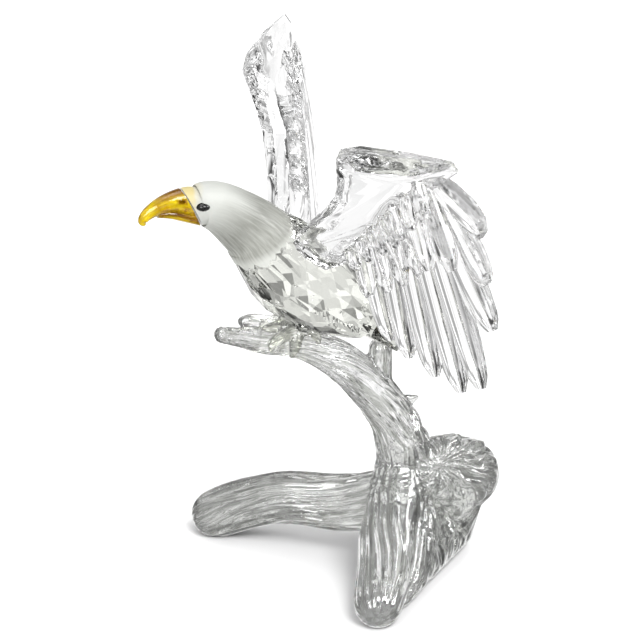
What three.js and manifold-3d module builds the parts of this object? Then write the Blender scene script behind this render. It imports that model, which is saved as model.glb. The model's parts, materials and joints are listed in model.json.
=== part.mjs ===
// Crystal eagle figurine on a cast driftwood base, in millimetres, +Z up.
// The bird faces -Y and its left wing is on the +X side. The wings mirror each other about x = 0.
import * as THREE from 'three';
import { ConvexGeometry } from 'three/addons/geometries/ConvexGeometry.js';
import { mergeVertices } from 'three/addons/utils/BufferGeometryUtils.js';
import Module from 'manifold-3d';

const wasm = await Module();
wasm.setup();

// Joints between the pieces
const GLUE_GAP = 0.3; // clear gap where two pieces are glued together
const EYE_GAP = 0.15; // clear gap round each eye in its socket
const FOOT_GAP = 0.3; // clear gap between the feet and the branch

// Head, neck and torso: [y, z, half width, half height] of each section along the spine
const SPINE = [
  [-33.6, 94.0, 2.5, 2.6],
  [-31.0, 93.2, 3.2, 3.7],
  [-28.4, 92.3, 3.7, 4.2],
  [-26.6, 92.4, 4.5, 4.9],
  [-24.4, 91.8, 5.1, 5.3],
  [-21.9, 90.4, 5.5, 5.7],
  [-18.7, 87.8, 6.3, 6.4],
  [-15.7, 85.0, 7.2, 7.1],
  [-13.1, 81.8, 8.2, 8.1],
];
const TORSO = [
  [-11.2, 79.7, 8.7, 8.7],
  [-7.0, 74.8, 10.3, 10.2],
  [-1.2, 69.2, 10.4, 9.7],
  [5.2, 64.0, 8.6, 7.4],
  [9.8, 60.1, 6.4, 4.8],
];
const NECK_SIDES = 14; // facets round the smooth head and neck
const GEM_SIDES = 9; // facets round the polished torso

// Tail
const TAIL_ROOT = [7.5, 62.0]; // y and z where it leaves the torso
const TAIL_TIP = [17.2, 53.9]; // y and z of its middle tip
const TAIL_ROOT_HALF_WIDTH = 5.6;
const TAIL_TIP_HALF_WIDTH = 8.2;
const TAIL_ROOT_THICKNESS = 8.0;
const TAIL_TIP_THICKNESS = 3.2;
const TAIL_CORNER_RISE = 2.2; // the tail's corners stop this short of its middle tip

// Beak: [y, z, half width, half height] of each section
const UPPER_BEAK = [
  [-27.6, 93.2, 3.5, 4.1],
  [-29.4, 93.4, 3.3, 3.5],
  [-32.2, 93.9, 2.8, 2.7],
  [-35.4, 93.6, 2.2, 2.0],
  [-37.8, 92.7, 1.7, 1.6],
  [-39.5, 91.6, 1.3, 1.3],
  [-40.3, 90.4, 0.9, 1.0],
  [-39.9, 89.5, 0.4, 0.4],
];
const LOWER_BEAK = [
  [-27.0, 89.8, 3.0, 2.2],
  [-30.2, 90.5, 2.6, 1.7],
  [-34.0, 91.4, 2.0, 1.2],
  [-37.0, 91.6, 1.3, 0.8],
];
const BEAK_SIDES = 12;
const BEAK_JOINT = [-29.8, 93.0]; // y and z of the joint's middle
const BEAK_JOINT_LEAN = 25; // degrees that the joint leans forward at its top

// Eyes
const EYE_PLACE = [3.3, -27.8, 93.2];
const EYE_LENGTH = 3.2;
const EYE_HEIGHT = 1.6;
const EYE_DEPTH = 2.2;
const EYE_TURN = -22; // degrees that the front of the head turns the eye inwards

// Legs and feet, on the +X side: limbs as [x, y, z, radius]
const THIGH = [
  [4.6, -3.5, 69.0, 4.4],
  [4.0, -4.8, 64.5, 3.2],
  [3.3, -5.6, 61.4, 2.0],
];
const TOES = [
  [[3.2, -5.8, 61.4, 1.6], [3.8, -9.6, 60.6, 1.5], [4.2, -12.4, 59.2, 1.3], [3.9, -13.4, 57.4, 0.7]],
  [[3.2, -5.8, 61.4, 1.6], [4.4, -7.2, 59.6, 1.5], [4.7, -7.7, 57.4, 1.2], [4.0, -8.0, 55.6, 0.7]],
  [[3.2, -5.6, 61.4, 1.6], [1.0, -9.0, 61.0, 1.4], [0.2, -12.4, 60.8, 1.1], [0.1, -14.2, 60.0, 0.6]],
  [[3.2, -5.4, 61.4, 1.6], [3.6, -3.4, 60.4, 1.3], [3.9, -2.2, 59.0, 1.0], [3.8, -1.8, 57.8, 0.6]],
];
const TOE_SIDES = 5;

// Driftwood base: limbs as [x, y, z, radius]
const TRUNK = [
  [0, -22.9, 61.2, 1.6],
  [0, -18.6, 60.0, 2.0],
  [0, -13.4, 58.2, 2.6],
  [0, -5.3, 56.6, 3.4],
  [0, 1.5, 53.0, 3.9],
  [0, 7.7, 47.8, 4.4],
  [0, 13.0, 41.4, 4.8],
  [0, 17.2, 34.4, 5.0],
  [0, 19.7, 27.0, 6.0],
  [0.5, 21.5, 19.0, 6.2],
];
const PERCH_LOBE = [
  [-1.6, -3.0, 58.6, 2.2],
  [-2.2, -9.4, 60.4, 2.0],
  [-2.6, -14.6, 62.0, 1.8],
  [-2.6, -16.8, 62.4, 1.4],
];
const LEFT_ROOT = [
  [1.0, 18.5, 14.6, 7.2],
  [-4.0, 12.5, 12.4, 6.5],
  [-9.0, 6.0, 11.4, 6.0],
  [-15.0, -2.0, 11.0, 5.8],
  [-20.6, -9.6, 8.2, 5.5],
  [-25.6, -16.2, 4.4, 5.2],
];
const FRONT_ROOT = [
  [0, 19.9, 22.0, 6.2],
  [5.5, 16.6, 16.0, 6.8],
  [12.5, 11.8, 11.5, 6.8],
  [20.0, 7.8, 7.6, 6.2],
  [28.4, 2.7, 4.4, 5.2],
];
const STUMP = [
  [0, 20.0, 20.0, 6.0],
  [1.0, 26.0, 19.4, 8.2],
  [2.0, 31.5, 19.2, 8.8],
  [2.6, 33.6, 19.0, 8.2],
];
const STUMP_LEG = [
  [1.6, 30.0, 17.0, 8.0],
  [1.0, 31.0, 5.0, 5.8],
];
const STUB = [
  [0, 15.0, 40.0, 2.6],
  [0, 14.4, 45.0, 2.4],
  [0, 14.3, 51.8, 2.7],
];
const THORN = [
  [0, 15.0, 36.6, 3.2],
  [0, 20.0, 38.0, 1.8],
  [0, 23.2, 38.6, 0.5],
];
const FLANK_TOP = [0, 20.5, 19.0, 6.4];
const FLANK_FRONT = [21.5, 8.6, 4.6, 5.4]; // ground end of the buttress beside the front root
const FLANK_BACK = [1.0, 31.0, 5.0, 5.6]; // ground end of the buttress under the stump
const FLANK_RIBS = 4; // ribs fanned between those two ends
const GRAIN_DEPTH = 0.07; // depth of the wood's ridges, as a share of a limb's radius
const GRAIN_TWIST = 0.5; // turns of the ridges along a limb
const FAN_MIDDLE = [6.0, 34.2, 20.2]; // middle of the stump's broken face
const FAN_FACING = [0.76, 0.46, 0.46];
const FAN_RADIUS = 6.6;
const FAN_HUB_SHARE = 0.8; // how far the splinters' hub lies from the middle, as a share of that radius
const FAN_SPREAD = 105; // degrees to which the splinters spread on each side
const FAN_SPLINTERS = 9;
const SPLINTER_RADII = [0.8, 1.5]; // at the hub and at the rim

// Left wing, as [x, y, z] steps: each one starts where the step before it ends
const CHEST_TO_SHOULDER = [2.3, 2.4, 6.0]; // from the side of the torso's first section
const ARM = [18.7, 1.3, 24.2]; // from the shoulder to the wrist
const HAND = [20.7, 18.0, 4.4]; // from the wrist to the tip, along the straight leading edge
// Arm plate: [along the hand from the wrist, up from the wrist] in its own plane
const PLATE_EDGE = [
  [-0.8, 0.2], [4.6, 1.8], [16.0, 1.5], [26.2, 0.1], [26.6, -2.4],
  [18.5, -8.4], [-8.5, -31.6], [-17.0, -35.0], [-24.6, -33.0], [-23.6, -28.2],
  [-18.3, -23.7], [-11.8, -18.3], [-6.6, -13.2], [-3.8, -8.0], [-1.9, -2.8],
];
const PLATE_WINDOW = [
  [0.2, -4.1], [5.0, -3.8], [11.0, -3.8], [16.4, -3.8], [16.2, -4.6],
  [14.4, -7.2], [-9.9, -27.9], [-14.6, -30.0], [-19.8, -30.4], [-19.6, -28.0],
  [-16.5, -25.1], [-9.8, -20.0], [-4.4, -14.7], [-1.4, -9.0], [-0.1, -5.4],
];
const PLATE_BACK = [
  [1.4, -1.6], [5.6, -0.2], [15.0, -0.4], [18.0, -2.4], [14.6, -4.6],
  [10.0, -7.8], [-11.0, -27.6], [-16.0, -31.0], [-21.0, -31.0], [-20.0, -27.6],
  [-15.4, -24.2], [-8.8, -19.2], [-3.8, -14.2], [-0.8, -9.0], [0.8, -4.4],
];
const PLATE_THICKNESS = 5.5;
const PLATE_FRONT_BEVEL = 1.1;
const PLATE_BACK_BEVEL = 1.6;
const PLATE_TIP_SHARE = 0.3; // thickness left at the wing tip
// Feathers: tips as [along the hand from the wrist, drop below the hand's line]
const FLIGHT_TIPS = [
  [32.0, 15.3], [31.0, 27.4], [31.1, 38.0], [26.9, 51.8],
  [22.1, 53.0], [16.4, 49.6], [10.8, 45.5], [7.0, 41.5],
];
const GREATER_TIPS = [[23.4, 24.1], [18.2, 24.3], [16.1, 25.0], [12.0, 27.8], [8.0, 29.4], [3.5, 30.8]];
const LESSER_TIPS = [
  [18.6, 11.9], [15.8, 14.3], [13.4, 16.2], [11.6, 17.9], [8.5, 19.6], [4.8, 21.4], [1.9, 23.3],
];
const FEATHER_DROP = [0, 0.13, -0.99]; // the direction in which the feathers hang
// Feather outlines: [share of the length, share of the width, share of the thickness]
const LONG_FEATHER = [[0, 0.75, 0.85], [0.35, 1, 1], [0.72, 1, 0.95], [0.92, 0.78, 0.75], [1, 0.34, 0.35]];
const SHORT_FEATHER = [[0, 0.75, 0.85], [0.4, 1, 1], [0.82, 0.95, 0.9], [1, 0.5, 0.5]];
// Each row's roots lie on the plate between an outer and an inner end, [along, up] as above;
// a crowding over 1 gathers them towards the outer end
const FLIGHT_ROW = {
  tips: FLIGHT_TIPS, outer: [18.5, -8.0], inner: [-4.5, -25.5], crowding: 2,
  widths: [9.4, 6.8], thickness: 2.8, sides: 8, outline: LONG_FEATHER,
};
const GREATER_ROW = {
  tips: GREATER_TIPS, outer: [17.0, -7.5], inner: [-6.0, -27.0], crowding: 1,
  widths: [6.4, 5.4], thickness: 4.4, sides: 6, outline: SHORT_FEATHER,
};
const LESSER_ROW = {
  tips: LESSER_TIPS, outer: [16.0, -5.6], inner: [-8.6, -28.0], crowding: 1,
  widths: [4.6, 4.4], thickness: 6.2, sides: 6, outline: SHORT_FEATHER,
};
const FEATHER_TILT = 10; // degrees that each feather is turned, so that the row laps like shingles
const ROOT_DEPTH = 2.6; // the feathers' roots lie this far behind the plate's front face
const TIP_DEPTH = 0.6; // and their tips this far behind it
const SWEEP = [-0.85, 0.33, -0.41]; // the way in which the inner feathers are swept towards the body
const SWEEP_LENGTH = 8; // how far the innermost feather is swept

// Colours
const CLEAR_CRYSTAL = new THREE.MeshStandardMaterial({ color: 0xe9efed, roughness: 0.03, metalness: 0 });
const WARM_CRYSTAL = new THREE.MeshStandardMaterial({ color: 0xd7dbd6, roughness: 0.06, metalness: 0 });
const GOLDEN_CRYSTAL = new THREE.MeshStandardMaterial({ color: 0xd9a916, roughness: 0.12, metalness: 0 });
const BLACK_CRYSTAL = new THREE.MeshStandardMaterial({ color: 0x101010, roughness: 0.05, metalness: 0 });

function vector([x, y, z]) {
  return new THREE.Vector3(x, y, z);
}

// Share of the way from one value to another, for arrays of numbers of the same length
function between(from, to, share) {
  return from.map((value, i) => value + (to[i] - value) * share);
}

function signedVolume(points, index) {
  let volume = 0;
  for (let i = 0; i < index.length; i += 3) {
    const [a, b, c] = [points[index[i]], points[index[i + 1]], points[index[i + 2]]];
    volume += a.dot(b.clone().cross(c)) / 6;
  }
  return volume;
}

// Turns points and triangles into a solid, whichever way round its faces were listed
function solidFrom(points, index) {
  const facesOut = signedVolume(points, index) > 0;
  const triVerts = Uint32Array.from(facesOut ? index : index.slice().reverse());
  const vertProperties = Float32Array.from(points.flatMap((p) => [p.x, p.y, p.z]));
  return new wasm.Manifold(new wasm.Mesh({ numProp: 3, vertProperties, triVerts }));
}

function solidOfGeometry(geometry) {
  geometry.deleteAttribute('normal');
  geometry.deleteAttribute('uv');
  const merged = mergeVertices(geometry, 1e-4);
  const place = merged.getAttribute('position');
  const pointAt = (_, i) => new THREE.Vector3().fromBufferAttribute(place, i);
  const points = Array.from({ length: place.count }, pointAt);
  return solidFrom(points, Array.from(merged.getIndex().array));
}

function meshOf(solid, name, material) {
  const { vertProperties, triVerts } = solid.getMesh();
  const geometry = new THREE.BufferGeometry();
  geometry.setAttribute('position', new THREE.BufferAttribute(vertProperties, 3));
  geometry.setIndex(new THREE.BufferAttribute(triVerts, 1));
  const mesh = new THREE.Mesh(geometry, material);
  mesh.name = name;
  return mesh;
}

// Outer skin of a solid: joined feathers and limbs can close small voids between them, which are filled
function outerSkin(solid) {
  const { vertProperties, triVerts } = solid.getMesh();
  const places = Array.from(vertProperties);
  const points = Array.from({ length: places.length / 3 }, (_, i) => vector(places.slice(3 * i, 3 * i + 3)));
  const shell = points.map((_, i) => i);
  const shellOf = (vertex) => {
    let top = vertex;
    while (shell[top] !== top) {
      top = shell[top];
    }
    shell[vertex] = top;
    return top;
  };
  for (let i = 0; i < triVerts.length; i += 3) {
    shell[shellOf(triVerts[i + 1])] = shellOf(triVerts[i]);
    shell[shellOf(triVerts[i + 2])] = shellOf(triVerts[i]);
  }
  const shells = new Map();
  for (let i = 0; i < triVerts.length; i += 3) {
    const key = shellOf(triVerts[i]);
    shells.set(key, [...(shells.get(key) ?? []), triVerts[i], triVerts[i + 1], triVerts[i + 2]]);
  }
  const volumes = [...shells.values()].map((index) => ({ index, volume: signedVolume(points, index) }));
  const largest = volumes.reduce((best, next) => (next.volume > best.volume ? next : best));
  const used = [...new Set(largest.index)];
  const place = new Map(used.map((vertex, i) => [vertex, i]));
  return solidFrom(used.map((vertex) => points[vertex]), largest.index.map((vertex) => place.get(vertex)));
}

function joined(solids) {
  return solids.reduce((whole, solid) => whole.add(solid));
}

// Solid skin over rings of points, with the same number of points in each ring
function loft(rings) {
  const sides = rings[0].length;
  const points = rings.flat();
  const index = [];
  for (let ring = 0; ring < rings.length - 1; ring++) {
    for (let side = 0; side < sides; side++) {
      const a = ring * sides + side;
      const b = ring * sides + ((side + 1) % sides);
      index.push(a, b, b + sides, a, b + sides, a + sides);
    }
  }
  const last = (rings.length - 1) * sides;
  for (const [offset, flip] of [[0, false], [last, true]]) {
    const centre = points.slice(offset, offset + sides).reduce((sum, p) => sum.add(p), new THREE.Vector3());
    const middle = points.push(centre.divideScalar(sides)) - 1;
    for (let side = 0; side < sides; side++) {
      const [a, b] = [offset + side, offset + ((side + 1) % sides)];
      index.push(...(flip ? [a, b, middle] : [b, a, middle]));
    }
  }
  return solidFrom(points, index);
}

// Limb along [x, y, z, radius] stations, with rounded ends and lengthwise ridges
function limb(stations, { sides = 16, rings = 10, ridges = 0, twist = 0, grow = 0, endSteps = 2 } = {}) {
  const path = new THREE.CatmullRomCurve3(stations.map(vector), false, 'centripetal');
  const frames = path.computeFrenetFrames(rings, false);
  const ringAt = (share, frame, push, scale) => {
    const place = path.getPoint(share).addScaledVector(frames.tangents[frame], push);
    const spot = share * (stations.length - 1);
    const first = Math.min(Math.floor(spot), stations.length - 2);
    const radius = THREE.MathUtils.lerp(stations[first][3], stations[first + 1][3], spot - first) + grow;
    return Array.from({ length: sides }, (_, side) => {
      const angle = (side / sides) * 2 * Math.PI;
      const ridge = ridges ? 1 + GRAIN_DEPTH * Math.cos(ridges * angle + twist * share * 2 * Math.PI) : 1;
      return place.clone()
        .addScaledVector(frames.normals[frame], Math.cos(angle) * radius * ridge * scale)
        .addScaledVector(frames.binormals[frame], Math.sin(angle) * radius * ridge * scale);
    });
  };
  const startRadius = stations[0][3] + grow;
  const endRadius = stations[stations.length - 1][3] + grow;
  const list = [];
  for (let step = endSteps; step > 0; step--) {
    const turn = (step / (endSteps + 0.5)) * Math.PI / 2;
    list.push(ringAt(0, 0, -Math.sin(turn) * startRadius, Math.cos(turn)));
  }
  for (let ring = 0; ring <= rings; ring++) {
    list.push(ringAt(ring / rings, ring, 0, 1));
  }
  for (let step = 1; step <= endSteps; step++) {
    const turn = (step / (endSteps + 0.5)) * Math.PI / 2;
    list.push(ringAt(1, rings, Math.sin(turn) * endRadius, Math.cos(turn)));
  }
  return loft(list);
}

// Rings round a path in the plane x = 0, from [y, z, half width, half height] sections
function sectionRings(sections, sides, { grow = 0, turn = () => 0 } = {}) {
  return sections.map(([y, z, halfWidth, halfHeight], i) => {
    const before = sections[Math.max(i - 1, 0)];
    const after = sections[Math.min(i + 1, sections.length - 1)];
    const along = new THREE.Vector2(after[0] - before[0], after[1] - before[1]).normalize();
    return Array.from({ length: sides }, (_, side) => {
      const angle = ((side + turn(i)) / sides) * 2 * Math.PI;
      const across = Math.sin(angle) * (halfWidth + grow);
      const up = Math.cos(angle) * (halfHeight + grow);
      return new THREE.Vector3(across, y - along.y * up, z + along.x * up);
    });
  });
}

function mirrored(solid) {
  const { vertProperties, triVerts } = solid.getMesh();
  const points = [];
  for (let i = 0; i < vertProperties.length; i += 3) {
    points.push(new THREE.Vector3(-vertProperties[i], vertProperties[i + 1], vertProperties[i + 2]));
  }
  return solidFrom(points, Array.from(triVerts));
}

// Box that covers everything on one side of a plane
function halfSpace(point, outward) {
  const reach = 200;
  const box = new THREE.BoxGeometry(reach, reach, reach);
  const turn = new THREE.Quaternion().setFromUnitVectors(new THREE.Vector3(0, 0, 1), outward);
  box.translate(0, 0, reach / 2).applyQuaternion(turn).translate(point.x, point.y, point.z);
  return solidOfGeometry(box);
}

// Driftwood base

function branchLimbs(grow = 0) {
  const wood = { sides: 12, ridges: 6, twist: GRAIN_TWIST, grow };
  const limbs = [
    limb(TRUNK, { ...wood, rings: 12 }),
    limb(PERCH_LOBE, { ...wood, sides: 8, ridges: 4, rings: 3 }),
    limb(LEFT_ROOT, { ...wood, rings: 6 }),
    limb(FRONT_ROOT, { ...wood, rings: 5 }),
    limb(STUMP, { ...wood, rings: 3 }),
    limb(STUMP_LEG, { ...wood, rings: 2 }),
    limb(STUB, { ...wood, sides: 10, ridges: 5, rings: 2, endSteps: 1 }),
    limb(THORN, { ...wood, sides: 6, ridges: 3, rings: 2, endSteps: 1 }),
  ];
  for (let rib = 0; rib < FLANK_RIBS; rib++) {
    const foot = between(FLANK_FRONT, FLANK_BACK, rib / (FLANK_RIBS - 1));
    limbs.push(limb([FLANK_TOP, foot], { ...wood, sides: 10, ridges: 5, rings: 2 }));
  }
  return limbs;
}

// Splinters that fan over the stump's broken face, from a hub at its inner side
function stumpSplinters() {
  const middle = vector(FAN_MIDDLE);
  const facing = vector(FAN_FACING).normalize();
  const across = new THREE.Vector3(0, 0, 1).cross(facing).normalize();
  const up = facing.clone().cross(across);
  const hub = middle.clone().addScaledVector(across, -FAN_RADIUS * FAN_HUB_SHARE);
  return Array.from({ length: FAN_SPLINTERS }, (_, i) => {
    const angle = THREE.MathUtils.degToRad(FAN_SPREAD * (2 * i / (FAN_SPLINTERS - 1) - 1));
    const end = middle.clone()
      .addScaledVector(across, Math.cos(angle) * FAN_RADIUS)
      .addScaledVector(up, Math.sin(angle) * FAN_RADIUS);
    const stations = [[...hub, SPLINTER_RADII[0]], [...end, SPLINTER_RADII[1]]];
    return limb(stations, { sides: 4, rings: 1, endSteps: 1 });
  });
}

function branch() {
  const whole = joined([...branchLimbs(), ...stumpSplinters()]);
  return outerSkin(whole.subtract(halfSpace(new THREE.Vector3(0, 0, 0), new THREE.Vector3(0, 0, -1))));
}

// Bird's body

function torso(grow = 0) {
  const neck = sectionRings(SPINE.slice(-1), GEM_SIDES * 2, { grow }).flat();
  const rings = sectionRings(TORSO, GEM_SIDES, { grow, turn: (i) => (i % 2) / 2 });
  return solidOfGeometry(new ConvexGeometry([...rings.flat(), ...neck]));
}

function headAndNeck(grow = 0) {
  return loft(sectionRings([...SPINE, ...TORSO.slice(0, 1)], NECK_SIDES, { grow }));
}

function tail() {
  const along = new THREE.Vector2(TAIL_TIP[0] - TAIL_ROOT[0], TAIL_TIP[1] - TAIL_ROOT[1]).normalize();
  const point = ([y, z], across, up, back) => new THREE.Vector3(
    across, y - along.y * up - along.x * back, z + along.x * up - along.y * back);
  const points = [];
  for (const side of [-1, -0.5, 0, 0.5, 1]) {
    const bend = Math.abs(side);
    const root = TAIL_ROOT_THICKNESS / 2 * (1 - 0.5 * bend);
    const end = TAIL_TIP_THICKNESS / 2 * (1 - 0.4 * bend);
    const back = TAIL_CORNER_RISE * bend ** 2;
    points.push(point(TAIL_ROOT, side * TAIL_ROOT_HALF_WIDTH, root, 0));
    points.push(point(TAIL_ROOT, side * TAIL_ROOT_HALF_WIDTH, -root, 0));
    points.push(point(TAIL_TIP, side * TAIL_TIP_HALF_WIDTH, end, back));
    points.push(point(TAIL_TIP, side * TAIL_TIP_HALF_WIDTH, -end, back));
  }
  return solidOfGeometry(new ConvexGeometry(points));
}

function legs() {
  const left = [
    limb(THIGH, { sides: 8, rings: 3 }),
    ...TOES.map((toe) => limb(toe, { sides: TOE_SIDES, rings: 3, endSteps: 1 })),
  ];
  return [...left, ...left.map(mirrored)];
}

function eye(grow = 0) {
  const ball = new THREE.IcosahedronGeometry(1, 1);
  ball.scale(EYE_DEPTH / 2 + grow, EYE_LENGTH / 2 + grow, EYE_HEIGHT / 2 + grow);
  ball.rotateZ(THREE.MathUtils.degToRad(EYE_TURN));
  ball.translate(...EYE_PLACE);
  return solidOfGeometry(ball);
}

// Everything in front of the beak's joint, moved forward by an offset
function beforeJoint(offset) {
  const lean = THREE.MathUtils.degToRad(BEAK_JOINT_LEAN);
  const outward = new THREE.Vector3(0, -Math.cos(lean), -Math.sin(lean));
  return halfSpace(vector([0, ...BEAK_JOINT]).addScaledVector(outward, offset), outward);
}

function body() {
  const bird = joined([torso(), headAndNeck(), tail(), ...legs()]);
  const branchRoom = joined(branchLimbs(FOOT_GAP));
  return outerSkin(bird
    .subtract(beforeJoint(0))
    .subtract(eye(EYE_GAP))
    .subtract(mirrored(eye(EYE_GAP)))
    .subtract(branchRoom));
}

function beak() {
  const upper = loft(sectionRings(UPPER_BEAK, BEAK_SIDES));
  const lower = loft(sectionRings(LOWER_BEAK, BEAK_SIDES));
  return upper.add(lower)
    .intersect(beforeJoint(GLUE_GAP))
    .subtract(eye(EYE_GAP))
    .subtract(mirrored(eye(EYE_GAP)));
}

// Wings

// Axes of the left wing: along the hand, up in the arm plate's plane, and out of its front face
function wingAxes() {
  const hand = vector(HAND).normalize();
  const front = hand.clone().cross(vector(ARM)).normalize();
  const up = front.clone().cross(hand);
  return { hand, up, front };
}

function wrist() {
  const [[y, z, halfWidth]] = TORSO;
  return new THREE.Vector3(halfWidth, y, z).add(vector(CHEST_TO_SHOULDER)).add(vector(ARM));
}

function onPlate(along, up, out) {
  const axes = wingAxes();
  return wrist()
    .addScaledVector(axes.hand, along)
    .addScaledVector(axes.up, up)
    .addScaledVector(axes.front, out);
}

// Thick cut plate between the shoulder and the hand, thinner towards the wing tip
function armPlate() {
  const length = vector(HAND).length();
  const ring = (outline, out) => outline.map(([along, up]) => {
    const share = 1 - (1 - PLATE_TIP_SHARE) * Math.max(along, 0) / length;
    return onPlate(along, up, out * share);
  });
  const layers = [
    ring(PLATE_BACK, -PLATE_THICKNESS),
    ring(PLATE_EDGE, PLATE_BACK_BEVEL - PLATE_THICKNESS),
    ring(PLATE_EDGE, -PLATE_FRONT_BEVEL),
    ring(PLATE_WINDOW, 0),
  ];
  const sides = PLATE_EDGE.length;
  const index = [];
  for (let layer = 0; layer < layers.length - 1; layer++) {
    for (let side = 0; side < sides; side++) {
      const a = layer * sides + side;
      const b = layer * sides + ((side + 1) % sides);
      index.push(a, b, b + sides, a, b + sides, a + sides);
    }
  }
  const flat = (outline) => outline.map(([along, up]) => new THREE.Vector2(along, up));
  const top = (layers.length - 1) * sides;
  for (const face of THREE.ShapeUtils.triangulateShape(flat(PLATE_BACK), [])) {
    index.push(...face);
  }
  for (const [a, b, c] of THREE.ShapeUtils.triangulateShape(flat(PLATE_WINDOW), [])) {
    index.push(top + a, top + c, top + b);
  }
  return solidFrom(layers.flat(), index);
}

// One feather: a rounded bar that swells after its root and closes in a blunt tip
function feather(root, tip, facing, { width, thickness, sides, outline }) {
  const along = tip.clone().sub(root);
  const across = facing.clone().cross(along).normalize();
  const out = along.clone().cross(across).normalize();
  const rings = outline.map(([share, wide, thick]) => Array.from({ length: sides }, (_, side) => {
    const angle = ((side + 0.5) / sides) * 2 * Math.PI;
    return root.clone()
      .addScaledVector(along, share)
      .addScaledVector(across, Math.cos(angle) * wide * width / 2)
      .addScaledVector(out, Math.sin(angle) * thick * thickness / 2);
  }));
  return loft(rings);
}

function featherRow({ tips, outer, inner, crowding, widths, ...shape }) {
  const { hand, front } = wingAxes();
  const drop = vector(FEATHER_DROP).normalize();
  const hanging = drop.clone().cross(hand).normalize();
  const sheet = hanging.dot(front) > 0 ? hanging : hanging.negate();
  return tips.map(([along, fall], i) => {
    const share = i / (tips.length - 1);
    const root = onPlate(...between(outer, inner, share ** crowding), -ROOT_DEPTH);
    const tip = onPlate(along, 0, -TIP_DEPTH)
      .addScaledVector(drop, fall)
      .addScaledVector(vector(SWEEP), SWEEP_LENGTH * share ** 2.5);
    const axis = tip.clone().sub(root).normalize();
    const facing = sheet.clone().applyAxisAngle(axis, THREE.MathUtils.degToRad(FEATHER_TILT));
    return feather(root, tip, facing, { ...shape, width: THREE.MathUtils.lerp(...widths, share) });
  });
}

function leftWing() {
  const feathers = [FLIGHT_ROW, GREATER_ROW, LESSER_ROW].flatMap(featherRow);
  const whole = joined([armPlate(), ...feathers]);
  return outerSkin(whole.subtract(torso(GLUE_GAP)).subtract(headAndNeck(GLUE_GAP)));
}

const eagle = new THREE.Group();
const wing = leftWing();
eagle.add(meshOf(branch(), 'branch', WARM_CRYSTAL));
eagle.add(meshOf(body(), 'body', CLEAR_CRYSTAL));
eagle.add(meshOf(beak(), 'beak', GOLDEN_CRYSTAL));
eagle.add(meshOf(eye(), 'left_eye', BLACK_CRYSTAL));
eagle.add(meshOf(mirrored(eye()), 'right_eye', BLACK_CRYSTAL));
eagle.add(meshOf(wing, 'left_wing', CLEAR_CRYSTAL));
eagle.add(meshOf(mirrored(wing), 'right_wing', CLEAR_CRYSTAL));

// The origin is the middle of the outer box, on the ground
const box = new THREE.Box3().setFromObject(eagle);
const middle = box.getCenter(new THREE.Vector3());
eagle.position.set(-middle.x, -middle.y, -box.min.z);

export default eagle;
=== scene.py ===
"""Looks of the crystal eagle figurine. The bird faces -Y, and its left wing is on the +X side.
Shapes are worked out in millimetres, in the frame of the part's own sections, and put in place
at the end. Angles are in degrees."""

import json
import math

import bmesh
import bpy
import numpy as np
from mathutils import Matrix, Vector, noise

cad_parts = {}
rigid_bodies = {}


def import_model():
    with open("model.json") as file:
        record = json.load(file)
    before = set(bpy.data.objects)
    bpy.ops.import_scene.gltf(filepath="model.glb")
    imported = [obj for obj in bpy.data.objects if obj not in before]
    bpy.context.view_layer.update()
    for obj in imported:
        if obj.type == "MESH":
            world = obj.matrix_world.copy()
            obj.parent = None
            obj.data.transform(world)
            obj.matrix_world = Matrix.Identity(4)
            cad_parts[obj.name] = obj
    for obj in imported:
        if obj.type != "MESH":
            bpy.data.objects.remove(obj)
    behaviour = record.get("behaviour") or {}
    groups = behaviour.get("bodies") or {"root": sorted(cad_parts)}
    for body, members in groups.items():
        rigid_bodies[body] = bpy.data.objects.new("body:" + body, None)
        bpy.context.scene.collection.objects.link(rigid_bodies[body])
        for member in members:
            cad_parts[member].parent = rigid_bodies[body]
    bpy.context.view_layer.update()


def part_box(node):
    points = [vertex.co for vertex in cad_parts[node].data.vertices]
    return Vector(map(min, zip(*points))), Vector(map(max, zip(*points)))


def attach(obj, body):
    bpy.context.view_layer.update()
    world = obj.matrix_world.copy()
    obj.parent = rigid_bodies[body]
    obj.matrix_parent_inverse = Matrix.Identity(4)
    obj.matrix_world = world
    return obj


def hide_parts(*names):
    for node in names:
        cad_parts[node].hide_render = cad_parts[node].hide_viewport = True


MM = 0.001  # metres in a millimetre
SAME_POINT = 1e-5  # points of a mesh nearer to each other than this are one
FLAT_ENOUGH = 1  # faces of a hull that meet at less than this are one facet

# Head, neck and torso: [y, z, half width, half height] of each section along the spine, from the face back
SPINE = [
    [-33.6, 94.0, 2.5, 2.6],
    [-31.0, 93.2, 3.2, 3.7],
    [-28.4, 92.3, 3.7, 4.2],
    [-26.6, 92.4, 4.5, 4.9],
    [-24.4, 91.8, 5.1, 5.3],
    [-21.9, 90.4, 5.5, 5.7],
    [-18.7, 87.8, 6.3, 6.4],
    [-15.7, 85.0, 7.2, 7.1],
    [-13.1, 81.8, 8.2, 8.1],
]
TORSO = [
    [-11.2, 79.7, 8.7, 8.7],
    [-7.0, 74.8, 10.3, 10.2],
    [-1.2, 69.2, 10.4, 9.7],
    [5.2, 64.0, 8.6, 7.4],
    [9.8, 60.1, 6.4, 4.8],
]
NECK_HEM = [[-14.3, 83.3, 7.7, 7.6], [-11.6, 80.0, 8.62, 8.54]]
NECK_WIDENS = 0.23  # for each millimetre down the neck, at the hem
HEM_RISE = 3.0  # the hem of the frosting lies this much higher on the throat than on the back
HEM_TEETH = 11
HEM_TOOTH = 0.8
HEM_UNEVEN = 2  # how fast the teeth's widths change round the neck
HEM_PATTERN = 0.3  # place of their pattern in the noise
GEM_COLLAR = [-14.6, 83.6, 7.5, 7.4]
GEM_SIDES = 14
GEM_STEPS = 3  # rings of facets between two sections of the torso
GEM_UNEVEN = 0.55  # how far a corner of the hand-cut facets may stray
GEM_SEED = 3  # for the straying, so that every run gives the same facets
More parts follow.
